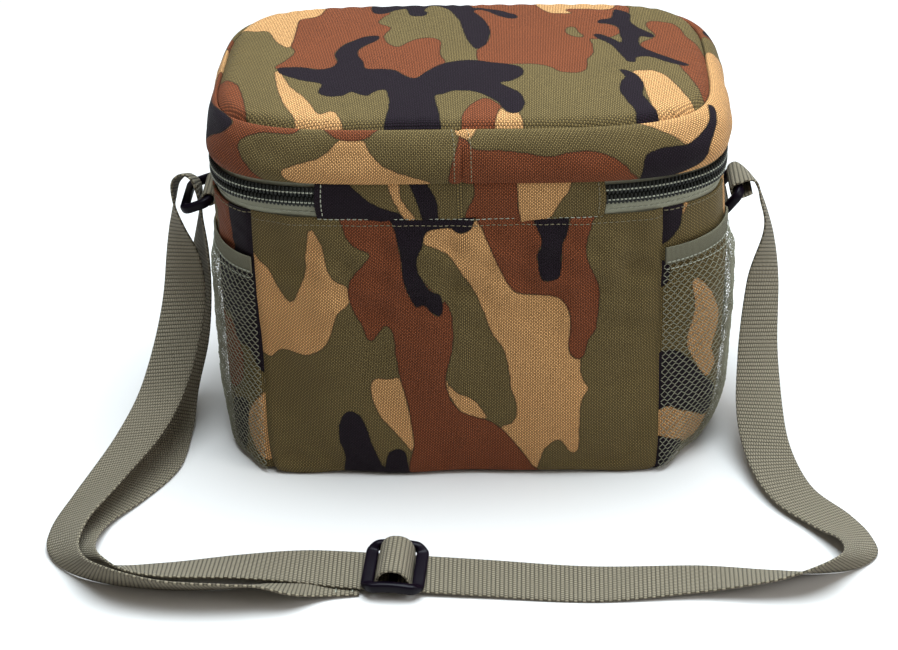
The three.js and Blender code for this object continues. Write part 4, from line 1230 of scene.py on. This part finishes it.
def frame_loop(name, origin, axes, half, radius, section_of, lift_of):
    """A moulded closed frame: a section swept round a rounded rectangle in its own plane.

    section_of gives the section's half sizes and lift_of its height. Both take a value that is 1 on the sides
    that run along the first axis and 0 on the other two.
    """
    path = rounded_loop(*half, radius)
    tangent = unit(np.roll(path, -1, 0) - np.roll(path, 1, 0))
    ax, ay, az = (np.asarray(a, float) for a in axes)
    side = np.abs(tangent[:, 0])
    centres = origin + path[:, :1] * ax + path[:, 1:] * ay + lift_of(path, side)[:, None] * az
    outs = tangent[:, 1:] * ax - tangent[:, :1] * ay
    section = boxy_section(20, 1, 1, 0.62, 0.62)[None] * section_of(side)[:, None]
    ups = np.broadcast_to(az, outs.shape)
    return sweep(name, centres, outs, ups, section, PLASTIC, closed=True, sharp=60)


def ribbon(name, centres, across, thickness):
    """Flat webbing along a line, with rounded selvedges. Across is one direction or one for each point."""
    across = unit(np.broadcast_to(across, centres.shape))
    ups = unit(np.cross(unit(np.gradient(centres, axis=0)), across))
    w, t = WEBBING / 2, thickness / 2
    top = [(x * w, t * (1 - 0.12 * abs(x) ** 8)) for x in np.linspace(-0.975, 0.975, 13)]
    section = [(-w, 0), *top, (w, 0), *[(x, -y) for x, y in top[::-1]]]
    return sweep(name, centres, across, ups, section, STRAP, sharp=70)


def smooth_line(points, step):
    """Points along a uniform spline through some corners, about one step apart."""
    points = np.asarray(points, float)
    size = max(4, int(np.linalg.norm(np.diff(points, axis=0), axis=1).max() / step))
    return np.tensordot(finer(len(points), size), points, (1, 0))


def ring_section(side):
    return np.stack([2.15 + 0 * side, 2.15 + 0.35 * side], -1)


def ring_and_tab(name, sign):
    """A plastic ring, the loop of its tab round the inner bar, and the tab's flat root sewn to the bag."""
    inner, outer = (np.array([x, 0, z]) for x, z in RINGS[name])
    along = (outer - inner) / np.linalg.norm(outer - inner)
    across = np.array([0, 1.0, 0])
    axes = (along, across, np.cross(along, across))
    ring = frame_loop(f"ring_moulding_{name}", (inner + outer) / 2, axes, (6.95, 15.5), 3.6, ring_section,
                      lambda path, side: 0 * side)
    fit(ring, f"ring_{name}", f"ring_{name}")

    turn = np.linspace(0, 2 * np.pi, 40)[:-1]
    circle = inner + 3.5 * np.stack([np.cos(turn), 0 * turn, np.sin(turn)], -1)
    fit(ribbon(f"tab_loop_{name}", circle, across, 1.1), f"ring_{name}", f"ring_loop_{name}")
    line = smooth_line([(x, 0, z) for x, z in TAILS[name]], 1.5)
    tail = fit(ribbon(f"tab_tail_{name}", line, across, 1.3), node=f"ring_tab_{name}")
    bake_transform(tail)
    for k, level in enumerate((150.2, 141.5)):
        y = np.linspace(-11.2, 11.2, 20)
        x = np.interp(-level, -line[:, 2], line[:, 0]) + 0.75 * sign
        row = np.stack([0 * y + x, y, 0 * y + level], -1)
        stitched(f"tab_stitches_{name}_{k}", row, (sign, 0, 0), "base", 2.4, 1.8, 0.28)


ring_and_tab("left", -1)
ring_and_tab("right", 1)


# ------------------------------------------------------------------ shoulder strap
# Middle line and direction across the width, from the sewn end in the right ring to the adjuster.
STRAP_LINE = np.array([
    [150.2, 0, 127.9, 0, 1, 0],  # free end of the fold round the right ring
    [146.6, 0, 126.1, 0, 1, 0],
    [142.9, 0, 125.2, 0, 1, 0],
    [140.1, 0, 126.6, 0, 1, 0],
    [139.1, 0, 129.6, 0, 1, 0],
    [140.3, 0, 132.6, 0, 1, 0],
    [143.4, 0, 133.8, 0, 1, 0],
    [148, 0, 132.9, 0, 0.98, -0.2],
    [152.9, -0.5, 128.9, 0.05, 0.92, -0.4],  # right run, twisting as it hangs
    [156.6, -1, 118.5, 0.15, 0.88, -0.45],
    [161, 1, 99.7, 0.26, 0.85, -0.46],
    [158.6, -6, 72, 0.74, 0.59, -0.34],
    [154.9, -31, 39, 0.91, 0.36, -0.22],
    [155.4, -74, 14.5, 0.99, -0.05, -0.03],
    [166, -106, 4.4, 0.9, 0.42, -0.05],
    [184, -130, 3.4, 0.78, 0.6, -0.14],
    [192.6, -146, 5.6, 0.73, 0.58, -0.36],  # right turn on the floor
    [194.1, -160, 7, 0.74, 0.46, -0.49],
    [186, -172, 9.4, 0.5, 0.55, -0.67],
    [171, -177.6, 9, 0.22, 0.72, -0.66],
    [152, -178.4, 6.6, 0.1, 0.88, -0.46],
    [115, -176, 2.8, 0.05, 0.99, -0.13],  # front run
    [62, -178.5, 1.9, 0.02, 0.995, 0.08],
    [10, -175, 3.2, 0, 0.993, 0.12],
    [-33, -172, 4.4, 0, 0.993, 0.12],  # under the adjuster
    [-60, -170.2, 5.1, 0, 0.993, 0.12],
    [-80, -168, 5.2, 0, 1, 0.02],
    [-110, -167, 4.6, 0, 0.98, -0.18],
    [-148, -171.2, 5.9, -0.1, 0.91, -0.38],
    [-170, -170.5, 7.1, -0.36, 0.76, -0.5],  # inner left turn
    [-186.5, -160.5, 6.8, -0.68, 0.55, -0.47],
    [-192.5, -146, 4.8, -0.78, 0.52, -0.32],
    [-190, -121, 2.2, -0.8, 0.6, -0.1],
    [-177, -99, 1.4, -0.86, 0.5, 0],
    [-164.5, -76, 1.4, -0.99, 0.1, 0],
    [-161.5, -40, 3.6, -0.97, 0.22, 0],  # inner strand, rising to the left ring
    [-158.5, -18, 17, -0.88, 0.45, -0.1],
    [-152.5, -4, 38, -0.82, 0.56, -0.1],
    [-147, 1, 66, -0.65, 0.75, -0.12],
    [-143.2, 1, 93, -0.42, 0.9, -0.14],
    [-141.4, 0, 115, -0.16, 0.97, -0.18],
    [-141.6, 0, 127, -0.05, 0.95, -0.3],  # slack loop over the left ring
    [-143.6, 0, 133.4, 0, 0.9, -0.43],
    [-148.4, 0, 136.2, 0, 0.9, -0.43],
    [-153.4, 0, 132.4, 0, 0.9, -0.43],
    [-155.4, 0, 121, -0.12, 0.9, -0.4],
    [-155.2, -1, 107, -0.42, 0.82, -0.38],  # outer strand, down to the floor
    [-153, -4, 88, -0.82, 0.5, -0.27],
    [-153.4, -13, 65, -0.98, 0.15, -0.12],
    [-161.2, -44, 35, -1, -0.1, -0.02],
    [-170.5, -76, 24, -0.97, -0.14, 0],
    [-187.5, -115, 15.5, -0.93, -0.15, -0.2],
    [-198, -138, 10.2, -0.84, 0.2, -0.44],  # outer left turn
    [-198.6, -155, 8.7, -0.76, 0.4, -0.52],
    [-190, -170.5, 9.7, -0.55, 0.5, -0.67],
    [-172, -182, 10.8, -0.22, 0.58, -0.78],
    [-145, -188.2, 9.9, -0.03, 0.69, -0.72],
    [-115, -189, 9.3, 0, 0.75, -0.66],
    [-97, -187, 8.2, 0, 0.82, -0.57],
    [-82, -184.5, 5.4, 0, 0.93, -0.36],
    [-66, -176, 2.0, 0, 1, -0.07],
    [-50, -173, 1.3, 0, 1, 0],  # sewn end, beside the adjuster
])


def strap_spline():
    """Centripetal spline through the strap's middle line and a plain one through its directions across."""
    step = 1.5
    before, after = 2 * STRAP_LINE[0] - STRAP_LINE[1], 2 * STRAP_LINE[-1] - STRAP_LINE[-2]
    line = np.concatenate([[before], STRAP_LINE, [after]])
    centre, across = line[:, :3], line[:, 3:]
    places, directions = [], []
    for i in range(1, len(centre) - 2):
        p0, p1, p2, p3 = centre[i - 1:i + 3]
        d0, d1, d2 = (math.sqrt(np.linalg.norm(b - a)) for a, b in ((p0, p1), (p1, p2), (p2, p3)))
        t1 = ((p1 - p0) / d0 - (p2 - p0) / (d0 + d1) + (p2 - p1) / d1) * d1
        t2 = ((p2 - p1) / d1 - (p3 - p1) / (d1 + d2) + (p3 - p2) / d2) * d1
        count = max(3, int(np.linalg.norm(p2 - p1) / step))
        last = i == len(centre) - 3
        for f in np.linspace(0, 1, count + 1)[: count + 1 if last else count]:
            bend = (3 * (p2 - p1) - 2 * t1 - t2) * f**2 + (2 * (p1 - p2) + t1 + t2) * f**3
            places.append(p1 + t1 * f + bend)
            a0, a1, a2, a3 = across[i - 1:i + 3]
            bend = (2 * a0 - 5 * a1 + 4 * a2 - a3) * f**2 / 2 + (3 * a1 - a0 - 3 * a2 + a3) * f**3 / 2
            directions.append(a1 + (a2 - a0) * f / 2 + bend)
    return np.array(places), np.array(directions)


CENTRES, ACROSS = strap_spline()
fit(ribbon("strap_ribbon", CENTRES, ACROSS, 1.3), "strap", "shoulder_strap")


def strap_stitches(name, k):
    """A row of stitches across the top of the webbing at its k-th point."""
    side = ACROSS[k] / np.linalg.norm(ACROSS[k])
    up = np.cross(CENTRES[k + 1] - CENTRES[k - 1], side)
    up = up / np.linalg.norm(up) * np.sign(up[2])
    line = np.array([CENTRES[k] + side * w + up * 0.7 for w in np.linspace(-10.8, 10.8, 12)])
    stitched(name, line, up, "strap", 2.3, 1.8, 0.3, PALE_STITCH)


for n, from_end in enumerate((3, 8)):
    strap_stitches(f"strap_end_stitches_{n}", len(CENTRES) - from_end)


# ------------------------------------------------------------------ slide adjuster
def adjuster():
    """The slide adjuster on the front run: its frame, its middle bar, and the webbing over the bar."""
    along = np.array([95, -6.5, -2.5])
    along = along / np.linalg.norm(along)
    up = np.cross(along, (0, 0.993, 0.12))
    up /= np.linalg.norm(up)
    across = np.cross(up, along)
    origin = np.array([-33, -172, 4.4])

    def rail(side):
        return soft_step(1.4 * side - 0.2)

    def section(side):
        return np.stack([3.1 - 1.1 * rail(side), 1.4 + 1.3 * rail(side)], -1)

    def lift(path, side):
        return 2.6 + rail(side) * (0.5 + 1.5 * np.cos(path[:, 0] / 13.0 * np.pi / 2))

    loop = frame_loop("adjuster_frame", origin, (along, across, up), (12.4, 14.8), 3.9, section, lift)
    fit(loop, "triglide", "triglide")
    line = origin + np.linspace(-14.2, 14.2, 24)[:, None] * across + up * 2.9
    outs, ups = (np.broadcast_to(a, line.shape) for a in (along, up))
    bar = sweep("adjuster_bar", line, outs, ups, boxy_section(18, 2.2, 1.45, 0.7, 0.7), PLASTIC)
    fit(bar, "triglide")

    turn = np.linspace(np.pi * 1.04, -np.pi * 0.04, 44)
    x, z = 8.1 * signed_power(np.cos(turn), 0.8), 10.4 * signed_power(np.sin(turn), 0.95)
    line = origin + x[:, None] * along + (z + 1.9)[:, None] * up
    fit(ribbon("adjuster_webbing", line, across, 1.3), "triglide", "triglide_webbing")


adjuster()


# ------------------------------------------------------------------ zip sliders
# The CAD sliders and pulls are kept, with softened edges.
for name in ("slider_left", "slider_right", "slider_pull_left", "slider_pull_right"):
    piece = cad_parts[name]
    piece.data.materials.clear()
    piece.data.materials.append(ENAMEL)
    bevel = piece.modifiers.new("soft_edges", "BEVEL")
    bevel.width = 0.0004
    bevel.segments = 2
    bevel.limit_method = "ANGLE"
    bevel.angle_limit = math.radians(35)


# ------------------------------------------------------------------ stage, light and camera
def pale_floor():
    """White paper whose far part glows, to the camera only, into the white background."""
    mesh = bpy.data.meshes.new("floor")
    s = 6.0
    mesh.from_pydata([(-s, -s, 0), (s, -s, 0), (s, s, 0), (-s, s, 0)], [], [(0, 1, 2, 3)])
    material, tree, shader = start("floor_paper")
    put(tree, shader, (0.67, 0.65, 0.63), 0.9, Specular_IOR_Level=0.1)
    reach = add(tree, "VectorMath", (add(tree, "TexCoord", out=3),), 1, operation="LENGTH")
    glow = calc(tree, "MULTIPLY", ramp(tree, reach, 0.7, 1.45, 0.0, 0.86), add(tree, "LightPath"))
    shader.inputs["Emission Color"].default_value = (1, 1, 1, 1)
    tree.links.new(glow, shader.inputs["Emission Strength"])
    mesh.materials.append(material)
    link(bpy.data.objects.new("floor", mesh))


def studio_world():
    """A white background for the camera, and a dim warm light for everything else."""
    world = bpy.data.worlds.new("studio")
    world.use_nodes = True
    tree = world.node_tree
    sky, seen = tree.nodes["Background"], add(tree, "LightPath")
    tree.links.new(mix(tree, seen, (1.0, 0.94, 0.84), (1.0, 1.0, 1.0)), sky.inputs[0])
    tree.links.new(calc(tree, "MULTIPLY_ADD", seen, 0.78, 0.24), sky.inputs[1])
    bpy.context.scene.world = world


def area_light(name, place, target, size, power, colour):
    """A square lamp; places and size are metres."""
    light = bpy.data.lights.new(name, "AREA")
    light.size = size
    light.energy = power
    light.color = colour
    obj = link(bpy.data.objects.new(name, light))
    obj.location = place
    obj.rotation_euler = (Vector(target) - Vector(place)).to_track_quat("-Z", "Y").to_euler()


def aim_camera():
    """The camera, in metres: it looks at a point of the bag from above the front."""
    az, el, roll = (math.radians(a) for a in (2.1439, 28.645, -1.557))
    distance = 1.1546
    target = np.array([-0.00242, 0, 0.08998])
    forward = np.array([-math.sin(az) * math.cos(el), math.cos(az) * math.cos(el), -math.sin(el)])
    level = np.array([math.cos(az), math.sin(az), 0.0])
    upright = np.cross(level, forward)
    right = level * math.cos(roll) + upright * math.sin(roll)
    up = upright * math.cos(roll) - level * math.sin(roll)
    camera = bpy.data.cameras.new("camera")
    camera.sensor_width = 36.0
    camera.lens = 86.0863
    camera.shift_x, camera.shift_y = -0.01498218, -0.0854265
    camera.clip_start = 0.01
    obj = link(bpy.data.objects.new("camera", camera))
    place = target - forward * distance
    obj.matrix_world = Matrix([(right[i], up[i], -forward[i], place[i]) for i in range(3)] + [(0, 0, 0, 1)])
    bpy.context.scene.camera = obj
    bpy.context.scene.view_settings.view_transform = "Standard"


pale_floor()
studio_world()
area_light("overhead", (0.15, 0.1, 1.5), (0, 0, 0.1), 1.3, 53, (0.9, 1.01, 1.09))
area_light("right_key", (1.3, -0.7, 0.9), (0, 0, 0.08), 0.7, 8, (1, 1, 1))
aim_camera()
